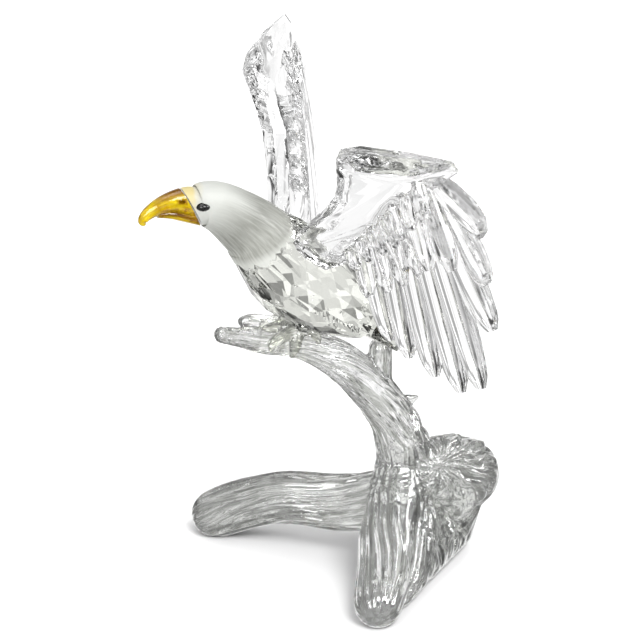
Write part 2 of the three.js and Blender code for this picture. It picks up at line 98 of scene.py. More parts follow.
GEM_CHANGE = 0.9  # how fast the straying changes in a millimetre
FACET_AREA = 0.6  # square millimetres, above which a face of the torso is a flat facet
NECK_SIDES = 56
NECK_STEPS = 6  # rings between two sections of the neck
GLUE_GAP = 0.3
EYE_GAP = 0.15
FOOT_GAP = 0.3
PLUMAGE_RADIUS = 6  # of the round on which the scratches of the plumage are drawn
BODY_CREASE = 18  # faces of the bird that meet at more than this have a crisp edge

# Tail, as in the part's source
TAIL_ROOT = [7.5, 62.0]
TAIL_TIP = [17.2, 53.9]
TAIL_HALF_WIDTHS = [5.6, 8.2]
TAIL_THICKNESSES = [8.0, 3.2]
TAIL_CORNER_RISE = 2.2
TAIL_SIDE_THINNER = [0.5, 0.4]  # share of its thickness that the tail loses at its sides, at root and tip

# Beak, its two halves as sections like the spine's
UPPER_BEAK = [
    [-27.6, 93.2, 3.5, 4.1],
    [-29.4, 93.4, 3.3, 3.5],
    [-32.2, 93.9, 2.8, 2.7],
    [-35.4, 93.6, 2.2, 2.0],
    [-37.8, 92.7, 1.7, 1.6],
    [-39.5, 91.6, 1.3, 1.3],
    [-40.3, 90.4, 0.9, 1.0],
    [-39.9, 89.5, 0.4, 0.4],
]
LOWER_BEAK = [
    [-27.0, 89.8, 3.0, 2.2],
    [-30.2, 90.5, 2.6, 1.7],
    [-34.0, 91.4, 2.0, 1.2],
    [-37.0, 91.6, 1.3, 0.8],
]
BEAK_SIDES = 32
BEAK_STEPS = 5
BEAK_JOINT = [-29.8, 93.0]
BEAK_JOINT_LEAN = 25
BEAK_CREASE = 40
NOSTRIL = [2.4, -32.2, 94.6]
NOSTRIL_SIZE = [0.7, 0.75, 0.35]
NOSTRIL_TURN = -20
RIDGE_BROWN = [0.5, 0.85]  # height over the middle, in halves of the beak's height, where it turns brown
# The mouth line and the nostril rings are painted shade, in brown, in the mouth's crease and round the
# nostril hollows.
MOUTH_BROWN = [-0.9, 0.16]  # height and half width of the brown line of the mouth
NOSTRIL_BROWN = [1.2, 0.4]  # radius and half width of the brown ring, in the nostril's own sizes
BROWN_ENDS = 1.6  # where a brown line has faded out, in its half widths
TIP_PALE = 6.0  # length over which the brown fades out towards the tip

# Eyes
EYE_PLACE = [3.3, -27.8, 93.2]
EYE_SIZE = [2.2, 3.2, 1.6]  # depth, length and height
EYE_TURN = -22
EYE_POINTED = 0.15
EYE_CREASE = 60

# Legs and feet, on the +X side: limbs as [x, y, z, radius]
THIGH = [[4.6, -3.5, 69.0, 4.4], [4.0, -4.8, 64.5, 3.2], [3.3, -5.6, 61.4, 2.0]]
TOES = [
    [[3.2, -5.8, 61.4, 1.6], [3.8, -9.6, 60.6, 1.5], [4.2, -12.4, 59.2, 1.3], [3.9, -13.4, 57.4, 0.7]],
    [[3.2, -5.8, 61.4, 1.6], [4.4, -7.2, 59.6, 1.5], [4.7, -7.7, 57.4, 1.2], [4.0, -8.0, 55.6, 0.7]],
    [[3.2, -5.6, 61.4, 1.6], [1.0, -9.0, 61.0, 1.4], [0.2, -12.4, 60.8, 1.1], [0.1, -14.2, 60.0, 0.6]],
    [[3.2, -5.4, 61.4, 1.6], [3.6, -3.4, 60.4, 1.3], [3.9, -2.2, 59.0, 1.0], [3.8, -1.8, 57.8, 0.6]],
]

# Driftwood base: limbs as [x, y, z, radius]
TRUNK = [
    [0, -22.9, 61.2, 1.6],
    [0, -18.6, 60.0, 2.0],
    [0, -13.4, 58.2, 2.6],
    [0, -5.3, 56.6, 3.4],
    [0, 1.5, 53.0, 3.9],
    [0, 7.7, 47.8, 4.4],
    [0, 13.0, 41.4, 4.8],
    [0, 17.2, 34.4, 5.0],
    [0, 19.7, 27.0, 6.0],
    [0.5, 21.5, 19.0, 6.2],
]
PERCH_LOBE = [
    [-1.6, -3.0, 58.6, 2.2],
    [-2.2, -9.4, 60.4, 2.0],
    [-2.6, -14.6, 62.0, 1.8],
    [-2.6, -16.8, 62.4, 1.4],
]
LEFT_ROOT = [
    [1.0, 18.5, 14.6, 7.2],
    [-4.0, 12.5, 12.4, 6.5],
    [-9.0, 6.0, 11.4, 6.0],
    [-15.0, -2.0, 11.0, 5.8],
    [-20.6, -9.6, 8.2, 5.5],
    [-25.6, -16.2, 4.4, 5.2],
]
FRONT_ROOT = [
    [0, 19.9, 22.0, 6.2],
    [5.5, 16.6, 16.0, 6.8],
    [12.5, 11.8, 11.5, 6.8],
    [20.0, 7.8, 7.6, 6.2],
    [28.4, 2.7, 4.4, 5.2],
]
STUMP = [[0, 20.0, 20.0, 6.0], [1.0, 26.0, 19.4, 8.2], [2.0, 31.5, 19.2, 8.8], [2.6, 33.6, 19.0, 8.2]]
STUMP_LEG = [[2.0, 31.0, 16.4, 8.1], [1.0, 31.0, 5.0, 5.6]]
STUB = [[0, 15.0, 40.0, 2.6], [0, 14.4, 45.0, 2.4], [0, 14.3, 51.8, 2.7]]
THORN = [[0, 15.0, 36.6, 3.2], [0, 20.0, 38.0, 1.8], [0, 23.2, 38.6, 0.5]]
FLANK_TOP = [0, 20.5, 19.0, 6.4]
FLANK_FRONT = [21.5, 8.6, 4.6, 5.4]
FLANK_BACK = [1.0, 31.0, 5.0, 5.6]
FLANK_RIBS = 10
THINNEST = 0.3  # radius below which no limb goes

# Fan of rays in the stump's broken face
FAN_HUB = [7.0, 25.3, 25.0]
FAN_FACING = [0.76, 0.46, 0.46]
FAN_REACH = 15.0  # from the hub to the rim
FAN_EDGE = 2  # way over which the rays die out at the rim
FAN_TURNED = [0.25, 0.55]  # cosine of a face's turn from the fan's facing: rays begin, and are whole
FAN_SIDE = [-4, -1]  # the same, across the fan from its hub
FAN_BACK = -7  # how far behind the hub they still show
FAN_RAYS = 17
FAN_DEPTH = 1.5
RAY_BENDS = [3, 5]  # bends of a ray: how many round the hub, and how long each is
RAY_SWAY = 5
RAY_RISE = 4  # way from the hub over which a ray comes to its height
RAY_GRAIN = [8, 900]  # radius and start of the grain's pattern on the rays
HUB_HOLLOW = [1.4, 2.2]  # depth and radius
LIP = [
    [13.8, 19.0, 14.8], [14.0, 20.9, 11.6], [13.3, 23.4, 9.1], [10.0, 28.0, 8.1],
    [8.5, 31.7, 10.8], [10.1, 33.4, 14.7], [10.9, 35.0, 17.9],
]
LIP_SIZE = [0.6, 0.7]  # height, and half width

# Grain of the driftwood
WOOD_VOXEL = 0.34  # grid on which the limbs flow into one another
WOOD_EASING = 14  # rounds that ease the joints of the limbs
JOINT_WIDTH = 2.2  # way over which the grain of one limb turns into the next one's
LEAST_HOLD = 0.03  # a limb that holds a point less than this has no say in its grain
GRAIN_TWIST = 0.02  # radians that the grain turns round a limb in a millimetre
GRAIN_APART = 60.0  # pattern between the grain of one limb and the next one's, so that no two are alike
FIBRE_WIDTH = 1.9  # from the groove on one side of a fibre to the groove on its other side
FIBRE_BEND = [5.0, 22.0]  # how far across and along the wood a fibre keeps to its way
FIBRE_SWAY = 7  # radians by which the bends push a fibre aside
FIBRE_RUN = [3.0, 12.0]  # how wide and long a patch of deep fibres is
RUN_SHIFT = 40  # place of the patches' pattern in the noise
FIBRE_DEPTH = 0.8
FIBRE_SHARES = [0.6, 0.9, 0.1]  # of that depth: the usual one, how much a patch changes it, and the least
FIBRE_LEAN = 0.4  # how far a fibre's crest leans to one side
TIP_FADE = 7.0  # way over which the fibres die out at the end of a root
TIP_DEPTH = 0.2  # share of their depth that is left there

# Wing: from the chest's side to the shoulder, from there to the wrist, and along the hand
CHEST_TO_SHOULDER = [2.3, 2.4, 6.0]
ARM = [18.7, 1.3, 24.2]
HAND = [20.7, 18.0, 4.4]

# Arm plate: the outlines of its edge, front and back, as [along the hand, above it] from the wrist
PLATE_EDGE = [
    [-0.8, 0.2], [4.6, 1.8], [16.0, 1.5], [26.2, 0.1], [26.6, -2.4],
    [18.5, -8.4], [-8.5, -31.6], [-17.0, -35.0], [-24.6, -33.0], [-23.6, -28.2],
    [-18.3, -23.7], [-11.8, -18.3], [-6.6, -13.2], [-3.8, -8.0], [-1.9, -2.8],
]
PLATE_WINDOW = [
    [0.2, -4.1], [5.0, -3.8], [11.0, -3.8], [16.4, -3.8], [16.2, -4.6],
    [14.4, -7.2], [-9.9, -27.9], [-14.6, -30.0], [-19.8, -30.4], [-19.6, -28.0],
    [-16.5, -25.1], [-9.8, -20.0], [-4.4, -14.7], [-1.4, -9.0], [-0.1, -5.4],
]
PLATE_BACK = [
    [1.4, -5.6], [5.6, -5.4], [12.0, -5.4], [15.6, -5.8], [14.0, -6.8],
    [10.0, -7.8], [-11.0, -27.6], [-16.0, -31.0], [-21.0, -31.0], [-20.0, -27.6],
    [-15.4, -24.2], [-8.8, -19.2], [-3.8, -14.2], [-0.8, -9.0], [0.8, -4.4],
]
PLATE_THICKNESS = 5.5
PLATE_FRONT_BEVEL = 1.1
PLATE_BACK_BEVEL = 1.6
PLATE_TIP_SHARE = 0.3
CHIP_STEPS = 3  # chipped facets between two points of the plate's outline
CHIP_ROWS = 3  # and across its borders
CHIP_DEPTHS = [0.6, 0.3]  # out of the plate, and up
CHIP_CHANGE = [0.9, 2.3]  # how fast the chips change in a millimetre, and from row to row
CHIP_SHIFT = 9  # place in the noise of the chips' second direction
WING_CREASE = 22

# Tips of the feathers, as [along the hand, how far they hang below it]
FLIGHT_TIPS = [
    [32.0, 15.3], [31.0, 27.4], [31.1, 38.0], [26.9, 51.8],
    [22.1, 53.0], [16.4, 49.6], [10.8, 45.5], [7.0, 41.5],
]
GREATER_TIPS = [[23.4, 24.1], [18.2, 24.3], [16.1, 25.0], [12.0, 27.8], [8.0, 29.4], [3.5, 30.8]]
LESSER_TIPS = [
    [18.6, 11.9], [15.8, 14.3], [13.4, 16.2], [11.6, 17.9], [8.5, 19.6], [4.8, 21.4], [1.9, 23.3],
]
FEATHER_DROP = [0, 0.13, -0.99]  # direction in which they hang
# Outlines of a feather: [way along it, width, thickness] as shares
LONG_FEATHER = [[0, 0.75, 0.85], [0.35, 1, 1], [0.72, 1, 0.95], [0.92, 0.78, 0.75], [1, 0.34, 0.35]]
SHORT_FEATHER = [[0, 0.75, 0.85], [0.4, 1, 1], [0.82, 0.95, 0.9], [1, 0.5, 0.5]]
# Rows from the back to the front: the ends of the line of roots, how closely the outer roots stand,
# the widths of the outermost and innermost feather, and how deep the roots and the tips lie
FEATHER_ROWS = [
    {"tips": FLIGHT_TIPS, "outer": [18.5, -8.0], "inner": [-4.5, -25.5], "crowding": 2.0,
     "widths": [9.4, 6.8], "thickness": 3.6, "depths": [2.6, 0.8], "outline": LONG_FEATHER},
    {"tips": GREATER_TIPS, "outer": [17.0, -7.5], "inner": [-6.0, -27.0], "crowding": 1.0,
     "widths": [6.4, 5.4], "thickness": 3.2, "depths": [1.8, 0.3], "outline": SHORT_FEATHER},
    {"tips": LESSER_TIPS, "outer": [16.0, -5.6], "inner": [-8.6, -28.0], "crowding": 1.0,
     "widths": [4.8, 4.6], "thickness": 3.2, "depths": [1.2, -0.4], "outline": SHORT_FEATHER},
]
# Halves of a feather's section, from one edge to the other: [across, out] as shares of the half sizes
FEATHER_FRONT = [
    [-1, 0.08], [-0.66, 0.4], [-0.36, 0.95], [0, 1.05], [0.36, 0.95], [0.66, 0.4], [1, 0.08],
]
FEATHER_BACK = [
    [1, -0.08], [0.6, -0.45], [0.3, -0.8], [0, -0.85], [-0.3, -0.8], [-0.6, -0.45], [-1, -0.08],
]
SECTION_STEPS = 3
FEATHER_RINGS = 14
RINGS_CROWD = 1.5  # how closely the rings stand at the tip
FEATHER_TILT = 10
SWEEP = [-0.85, 0.33, -0.41]  # direction in which the inner tips are swept
SWEEP_LENGTH = 8
SWEEP_GROWS = 2.5  # how late in the row the sweep sets in

# Patterns in the crystal: their width, or [width, height], or how many there are to a millimetre across,
# across and along the piece
POLISH_WAVE = [3.5, 0.12]
POLISH_SMEAR = 6
CAST_FIBRES = (1.6, 1.6, 0.16)
CAST_FIBRE_HEIGHT = 0.4
CAST_STREAKS = (0.9, 0.9, 0.08)
PLUMAGE_SCRATCHES = (2.6, 2.6, 0.2)
PLUMAGE_SCRATCH_HEIGHT = 0.15
HONEY_CLOUD = [2.6, 0.3]
EYE_SMEAR = 0.8

# Places on the head and neck, along the spine from the face, between which the frosting changes
CERE_ENDS = [3.2, 6.4]
# Painted shade greys the neck from the first of these places to the second.
NECK_SHADE_FADES_IN = [9.5, 17.5]
# Painted highlight: the frosting turns white again over the hem between these places.
HIGHLIGHT_BAND_BEGINS = [24.6, 26.2]

# Camera, from the photograph's angle
CAMERA_AZIMUTH = 69
CAMERA_ELEVATION = 24
CAMERA_DISTANCE = 800
CAMERA_TARGET = [0, 0, 61.1]
PIXELS_PER_MM = 4.57
FRAME_PIXELS = 640
SENSOR_WIDTH = 36
CLIP_END = 20  # metres

FLOOR_HALF = 6.0  # metres
FLOOR_DROP = 0.05  # below the lowest point of the figurine

# Lights that everything gets, as [direction, spread, power]
LIGHTS = [
    [[0.8, 0.05, 1.0], 24, 2.0],
    [[0.25, 1.0, 1.2], 16, 0.6],
    [[0.7, -1.0, 1.0], 16, 0.6],
]
# Lights that only put glints on polished crystal
GLINTS = [
    [[-0.35, -0.1, 1.0], 30, 0.5],
    [[0.9, -0.9, 0.5], 26, 1.2],
    [[0.6, 0.9, 0.7], 26, 1.6],
]
ROOM_ON_PAPER = 0.8  # light that the floor and the frosting get from the room as a whole

# Room that the crystal sees: edges as cosines of the angle from straight behind the figurine or overhead
BACKDROP_EDGE = [0.66, 0.84]
WHITE_BEHIND = [0.97, 0.99]
CEILING_EDGE = [0.82, 0.92]
SHEETS = {"To Min": 0.4, "To Max": 1.4, "From Min": 0.38, "From Max": 0.58}
CARDS = {"To Min": 0.04, "To Max": 1.0, "From Min": 0.46, "From Max": 0.56}
SHEET_FOLDS = 9.0  # folds of the backdrop's sheets across the whole room
CARD_COUNT = 2.6  # dark cards across the whole room

for leftover in list(bpy.data.objects):
    bpy.data.objects.remove(leftover)
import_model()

# Where the sections' own frame lies in the part's frame: the eye shows it
eye_low, eye_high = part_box("left_eye")
ORIGIN = (eye_low + eye_high) / 2 / MM - Vector(EYE_PLACE)


# Numbers and paths


def unit(vector):
    vector = np.asarray(vector, float)
    return vector / (np.linalg.norm(vector) or 1)


def fade(values, start, end):
    """0 before the start, 1 after the end, and even between them."""
    return np.clip((values - start) / (end - start), 0, 1)


def between(start, end, share):
    return np.asarray(start, float) + (np.asarray(end, float) - np.asarray(start, float)) * share


def through(values, steps):
    """Smooth curve through rows of values, with so many steps between two of them."""
    rows = np.asarray(values, float)
    rows = np.vstack([2 * rows[0] - rows[1], rows, 2 * rows[-1] - rows[-2]])
    curve = []
    for a, b, c, d in zip(rows, rows[1:], rows[2:], rows[3:]):
        for step in range(steps):
            t = step / steps
            curve.append(0.5 * (2 * b + (c - a) * t + (2 * a - 5 * b + 4 * c - d) * t**2
                                + (3 * b - a - 3 * c + d) * t**3))
    curve.append(rows[-2])
    return np.array(curve)


def path_frames(points):
    """Tangent, normal and binormal along a path, turned as little as can be."""
    tangents = np.gradient(points, axis=0)
    tangents /= np.linalg.norm(tangents, axis=1)[:, None]
    normal = np.cross(tangents[0], [0.0, 0.0, 1.0])
    if np.linalg.norm(normal) < 0.1:
        normal = np.cross(tangents[0], [1.0, 0.0, 0.0])
    normals = []
    for tangent in tangents:
        normal = unit(normal - tangent * (normal @ tangent))
        normals.append(normal)
    normals = np.array(normals)
    return tangents, normals, np.cross(tangents, normals)


def limb_path(stations, steps=8, grow=0):
    """Path through [x, y, z, radius] stations, with the frames along it."""
    curve = through(stations, steps)
    points = curve[:, :3]
    tangents, normals, binormals = path_frames(points)
    strides = np.linalg.norm(np.diff(points, axis=0), axis=1)
    return {
        "points": points,
        "radii": np.maximum(curve[:, 3], THINNEST) + grow,
        "tangents": tangents,
        "normals": normals,
        "binormals": binormals,
        "along": np.concatenate([[0], np.cumsum(strides)]),
    }


# Meshes


def new_mesh(name, points, faces):
    mesh = bpy.data.meshes.new(name)
    mesh.from_pydata([tuple(p) for p in points], [], faces)
    mesh.validate()
    return bpy.data.objects.new(name, mesh)


def face_outwards(obj):
    """Merges an object's doubles and turns its faces outwards."""
    work = bmesh.new()
    work.from_mesh(obj.data)
    bmesh.ops.remove_doubles(work, verts=work.verts, dist=SAME_POINT)
    bmesh.ops.recalc_face_normals(work, faces=work.faces)
    work.to_mesh(obj.data)
    work.free()
    return obj


def loft(name, rings):
    """Closed skin over rings with the same number of points in each."""
    sides = len(rings[0])
    points = [p for ring in rings for p in ring]
    faces = []
    for ring in range(len(rings) - 1):
        for side in range(sides):
            a = ring * sides + side
            b = ring * sides + (side + 1) % sides
            faces.append((a, b, b + sides, a + sides))
    for start in (0, (len(rings) - 1) * sides):
        middle = len(points)
        points.append(np.mean(points[start:start + sides], axis=0))
        for side in range(sides):
            faces.append((start + side, start + (side + 1) % sides, middle))
    return face_outwards(new_mesh(name, points, faces))


def limb(name, stations, sides=32, steps=8, grow=0, ends=5):
    """Round limb along [x, y, z, radius] stations, with rounded ends."""
    path = limb_path(stations, steps, grow)
    angles = np.arange(sides) / sides * 2 * math.pi
    circle = np.cos(angles)[:, None], np.sin(angles)[:, None]

    def ring(i, push, scale):
        radius = path["radii"][i] * scale
        middle = path["points"][i] + path["tangents"][i] * push
        return middle + radius * (circle[0] * path["normals"][i] + circle[1] * path["binormals"][i])

    turns = [step / (ends + 0.5) * math.pi / 2 for step in range(1, ends + 1)]
    last = len(path["points"]) - 1
    rings = [ring(0, -math.sin(t) * path["radii"][0], math.cos(t)) for t in reversed(turns)]
    rings += [ring(i, 0, 1) for i in range(last + 1)]
    rings += [ring(last, math.sin(t) * path["radii"][-1], math.cos(t)) for t in turns]
    return loft(name, rings)


def hull(name, points):
    """Convex shape round points, with one flat face for each facet."""
    work = bmesh.new()
    for p in points:
        work.verts.new(tuple(p))
    bmesh.ops.convex_hull(work, input=work.verts)
    unused = [v for v in work.verts if not v.link_faces]
    bmesh.ops.delete(work, geom=unused, context="VERTS")
    flat = math.radians(FLAT_ENOUGH)
    bmesh.ops.dissolve_limit(work, angle_limit=flat, verts=work.verts, edges=work.edges)
    bmesh.ops.recalc_face_normals(work, faces=work.faces)
    mesh = bpy.data.meshes.new(name)
    work.to_mesh(mesh)
    work.free()
    return bpy.data.objects.new(name, mesh)


def ball(name, middle, half_sizes, turn=0, pointed=0, segments=40, rows=20):
    """Rounded lens; pointed draws its two ends along y out into corners."""
    rings = []
    for row in range(1, rows):
        lean = row / rows * math.pi
        ring = []
        for segment in range(segments):
            angle = segment / segments * 2 * math.pi
            across = math.sin(lean) ** (1 + pointed)
            ring.append([math.cos(angle) * across, -math.cos(lean), math.sin(angle) * across])
        rings.append(np.array(ring))
    spin = np.array(Matrix.Rotation(math.radians(turn), 3, "Z"))
    placed = [ring * half_sizes @ spin.T + np.array(middle) for ring in rings]
    return loft(name, placed)


def evaluated(obj):
    """Plain mesh of an object as its modifiers leave it."""
    linked = obj.name in bpy.context.scene.collection.objects
    if not linked:
        bpy.context.scene.collection.objects.link(obj)
    graph = bpy.context.evaluated_depsgraph_get()
    graph.update()
    mesh = bpy.data.meshes.new_from_object(obj.evaluated_get(graph))
    if not linked:
        bpy.context.scene.collection.objects.unlink(obj)
    return mesh


def combine(obj, other, operation="UNION"):
    """Joins another closed mesh to an object's, or cuts it away."""
    bpy.context.scene.collection.objects.link(other)
    step = obj.modifiers.new("joint", "BOOLEAN")
    step.operation = operation
    step.solver = "MANIFOLD"
    step.object = other
    mesh = evaluated(obj)
    obj.modifiers.remove(step)
    obj.data = mesh
    bpy.data.objects.remove(other)
    return obj


def half_space(name, point, outward, reach=150):
    """Box that covers everything on one side of a plane."""
    turn = Vector((0, 0, 1)).rotation_difference(Vector(outward)).to_matrix().to_4x4()
    place = Matrix.Translation(Vector(point)) @ turn @ Matrix.Translation((0, 0, reach / 2))
    work = bmesh.new()
    bmesh.ops.create_cube(work, size=reach, matrix=place)
    mesh = bpy.data.meshes.new(name)
    work.to_mesh(mesh)
    work.free()
    return bpy.data.objects.new(name, mesh)


def mirror_copy(obj, name):
    """The same closed mesh on the other side of x = 0, still facing out."""
    mesh = obj.data.copy()
    mesh.name = name
    mesh.transform(Matrix.Diagonal((-1, 1, 1, 1)))
    mesh.flip_normals()
    return bpy.data.objects.new(name, mesh)


def positions(mesh):
    places = np.empty(len(mesh.vertices) * 3)
    mesh.vertices.foreach_get("co", places)
    return places.reshape(-1, 3)


def move_points(mesh, places):
    mesh.vertices.foreach_set("co", np.ascontiguousarray(places, dtype=np.float32).ravel())
    mesh.update()


def vertex_normals(mesh):
    normals = np.empty(len(mesh.vertices) * 3)
    mesh.vertex_normals.foreach_get("vector", normals)
    return normals.reshape(-1, 3)


def store(mesh, name, kind, values):
    """Keeps values at the points of a mesh, as an attribute."""
    attribute = mesh.attributes.new(name, kind, "POINT")
    field = "vector" if kind == "FLOAT_VECTOR" else "value"
    attribute.data.foreach_set(field, np.ascontiguousarray(values, dtype=np.float32).ravel())


def shade(mesh, sharp_angle):
    """Smooth faces, with a crisp edge wherever two of them meet at more than the angle."""
    mesh.shade_smooth()
    if sharp_angle is not None:
        mesh.set_sharp_from_angle(angle=math.radians(sharp_angle))


def finish_piece(obj, name, node, materials):
    """Scales a piece from millimetres into the part's frame, and has it stand for its node."""
    obj.name = name
    obj.data.transform(Matrix.Scale(MM, 4) @ Matrix.Translation(ORIGIN))
    obj.data.name = name
    obj.data.materials.clear()
    for material in materials:
        obj.data.materials.append(material)
    if obj.name not in bpy.context.scene.collection.objects:
        bpy.context.scene.collection.objects.link(obj)
    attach(obj, "root")
    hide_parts(node)
    return obj


# Materials


def linear(colour):
    """Linear light of an sRGB hex colour."""
    parts = [int(colour[i:i + 2], 16) / 255 for i in (1, 3, 5)]
    return [p / 12.92 if p <= 0.04045 else ((p + 0.055) / 1.055) ** 2.4 for p in parts] + [1.0]


def add(tree, kind, settings=None, inputs=None):
    """One node, with its settings. Each input is set to a value, or joined to a socket or to the first
    output of a node."""
    node = tree.nodes.new(kind)
    for name, value in (settings or {}).items():
        setattr(node, name, value)
    for name, value in (inputs or {}).items():
        if isinstance(value, bpy.types.Node):
            value = next(out for out in value.outputs if out.enabled)
        if isinstance(value, bpy.types.NodeSocket):
            tree.links.new(value, node.inputs[name])
        else:
            node.inputs[name].default_value = value
    return node


def new_material(name):
    material = bpy.data.materials.new(name)
    material.use_nodes = True
    material.node_tree.nodes.clear()
    return material, material.node_tree


def polished_crystal(name, tint):
    """Lead crystal, cut and polished: clear, with heavy glitter and the faint waves of hand polishing."""
    material, tree = new_material(name)
    place = add(tree, "ShaderNodeTexCoord").outputs["Object"]
    waves = add(tree, "ShaderNodeTexNoise", None, {
        "Vector": place, "Scale": 1 / (POLISH_WAVE[0] * MM), "Detail": 2.0,
    })
    bump = add(tree, "ShaderNodeBump", None, {
        "Strength": 0.12, "Distance": POLISH_WAVE[1] * MM, "Height": waves,
    })
    smears = add(tree, "ShaderNodeTexNoise", None, {
        "Vector": place, "Scale": 1 / (POLISH_SMEAR * MM), "Detail": 3.0,
    })
    rough = add(tree, "ShaderNodeMapRange", None, {
        "Value": smears, "From Min": 0.3, "From Max": 0.7, "To Max": 0.015,
    })
    shader = add(tree, "ShaderNodeBsdfPrincipled", None, {
        "Base Color": linear(tint), "Roughness": rough, "IOR": 1.54, "Transmission Weight": 1.0,
        "Normal": bump,
    })
    add(tree, "ShaderNodeOutputMaterial", None, {"Surface": shader})
    return material


def cast_crystal():
    """Crystal cast in a mould: fine fibres in its skin, clear and dark streaks that run along them,
    and a grey depth where it is thick. Painted shade darkens the streaks: most on the flank under the
    stump, less on the left root, the stump and its stub, a little on the thorn, and not on the trunk."""
    material, tree = new_material("cast_crystal")
    grain = add(tree, "ShaderNodeAttribute", {"attribute_name": "grain"}).outputs["Vector"]
    painted_shade = add(tree, "ShaderNodeAttribute", {"attribute_name": "painted_shade"}).outputs["Fac"]
    drawn = add(tree, "ShaderNodeMapping", None, {"Vector": grain, "Scale": CAST_FIBRES})
    fibres = add(tree, "ShaderNodeTexNoise", None, {
        "Vector": drawn, "Scale": 1.0, "Detail": 0.5, "Roughness": 0.5,
    })
    bump = add(tree, "ShaderNodeBump", None, {
        "Strength": 0.6, "Distance": CAST_FIBRE_HEIGHT * MM, "Height": fibres,
    })
    rough = add(tree, "ShaderNodeMapRange", None, {
        "Value": fibres, "From Min": 0.3, "From Max": 0.7, "To Max": 0.02,
    })
    pulled = add(tree, "ShaderNodeMapping", None, {"Vector": grain, "Scale": CAST_STREAKS})
    streaks = add(tree, "ShaderNodeTexNoise", None, {
        "Vector": pulled, "Scale": 1.0, "Detail": 2.0, "Roughness": 0.6,
    })
    parted = add(tree, "ShaderNodeMapRange", None, {"Value": streaks, "From Min": 0.46, "From Max": 0.49})
    # Painted shade: the dark and the clear streaks both turn greyer with the wood's shade attribute, most
    # on the flank under the stump.
    dark_streaks = add(tree, "ShaderNodeMix", {"data_type": "RGBA"}, {
        "Factor": painted_shade, "A": linear("#bcbeb8"), "B": linear("#141614"),
    })
    clear = add(tree, "ShaderNodeMix", {"data_type": "RGBA"}, {
        "Factor": painted_shade, "A": linear("#ffffff"), "B": linear("#b2b4af"),
    })
    tint = add(tree, "ShaderNodeMix", {"data_type": "RGBA"}, {"Factor": parted, "A": dark_streaks, "B": clear})
    shader = add(tree, "ShaderNodeBsdfPrincipled", None, {
        "Base Color": tint, "Roughness": rough, "IOR": 1.52, "Transmission Weight": 1.0,
        "Coat Weight": 1.0, "Coat Roughness": 0.06, "Coat IOR": 1.8, "Normal": bump,
    })
    depth = add(tree, "ShaderNodeVolumeAbsorption", None, {"Color": linear("#a9ab9f"), "Density": 1.0})
    add(tree, "ShaderNodeOutputMaterial", None, {"Surface": shader, "Volume": depth})
    return material


def frosted_crystal():
    """Crystal etched to a satin white on the head and neck, with fine scratches drawn along it as
    plumage. It is whitest on the crown; painted shade greys the neck where it is thick, and a painted
    highlight keeps the band over the hem white. It is yellow from the beak behind it at the very front."""
    material, tree = new_material("frosted_crystal")
    grain = add(tree, "ShaderNodeAttribute", {"attribute_name": "grain"}).outputs["Vector"]
    along = add(tree, "ShaderNodeSeparateXYZ", None, {"Vector": grain}).outputs["Z"]
    drawn = add(tree, "ShaderNodeMapping", None, {"Vector": grain, "Scale": PLUMAGE_SCRATCHES})
    scratches = add(tree, "ShaderNodeTexNoise", None, {
        "Vector": drawn, "Scale": 1.0, "Detail": 4.0, "Roughness": 0.65,
    })
    bump = add(tree, "ShaderNodeBump", None, {
        "Strength": 0.5, "Distance": PLUMAGE_SCRATCH_HEIGHT * MM, "Height": scratches,
    })
    rough = add(tree, "ShaderNodeMapRange", None, {
        "Value": scratches, "From Min": 0.3, "From Max": 0.7, "To Min": 0.3, "To Max": 0.55,
    })
    # Painted shade: the neck turns grey between these places along the spine.
    in_shaded_neck = add(tree, "ShaderNodeMapRange", None, {
        "Value": along, "From Min": NECK_SHADE_FADES_IN[0], "From Max": NECK_SHADE_FADES_IN[1],
    })
    # Painted highlight: the grey fades out again in the band over the hem.
    in_highlight_band = add(tree, "ShaderNodeMapRange", None, {
        "Value": along, "From Min": HIGHLIGHT_BAND_BEGINS[0], "From Max": HIGHLIGHT_BAND_BEGINS[1],
        "To Min": 1.0, "To Max": 0.2,
    })
    # The painted shade of the neck, lifted again by the painted highlight of the band over the hem.
    thick = add(tree, "ShaderNodeMath", {"operation": "MULTIPLY"}, {0: in_shaded_neck, 1: in_highlight_band})
    streaks = add(tree, "ShaderNodeMapRange", None, {
        "Value": scratches, "From Min": 0.35, "From Max": 0.6, "To Min": 0.55, "To Max": 1.0,
    })
    grey = add(tree, "ShaderNodeMath", {"operation": "MULTIPLY"}, {0: thick, 1: streaks})
    # The scratched plumage, greyed by the painted shade of the neck.
    plumage = add(tree, "ShaderNodeMix", {"data_type": "RGBA"}, {
        "Factor": grey, "A": linear("#dddfd9"), "B": linear("#93948c"),
    })
    in_cere = add(tree, "ShaderNodeMapRange", None, {
        "Value": along, "From Min": CERE_ENDS[0], "From Max": CERE_ENDS[1], "To Min": 1.0, "To Max": 0.0,
    })
    tint = add(tree, "ShaderNodeMix", {"data_type": "RGBA"}, {
        "Factor": in_cere, "A": plumage, "B": linear("#ead997"),
    })
    shader = add(tree, "ShaderNodeBsdfPrincipled", None, {
        "Base Color": tint, "Roughness": rough, "IOR": 1.54, "Transmission Weight": 0.4, "Normal": bump,
    })
    add(tree, "ShaderNodeOutputMaterial", None, {"Surface": shader})
    return material


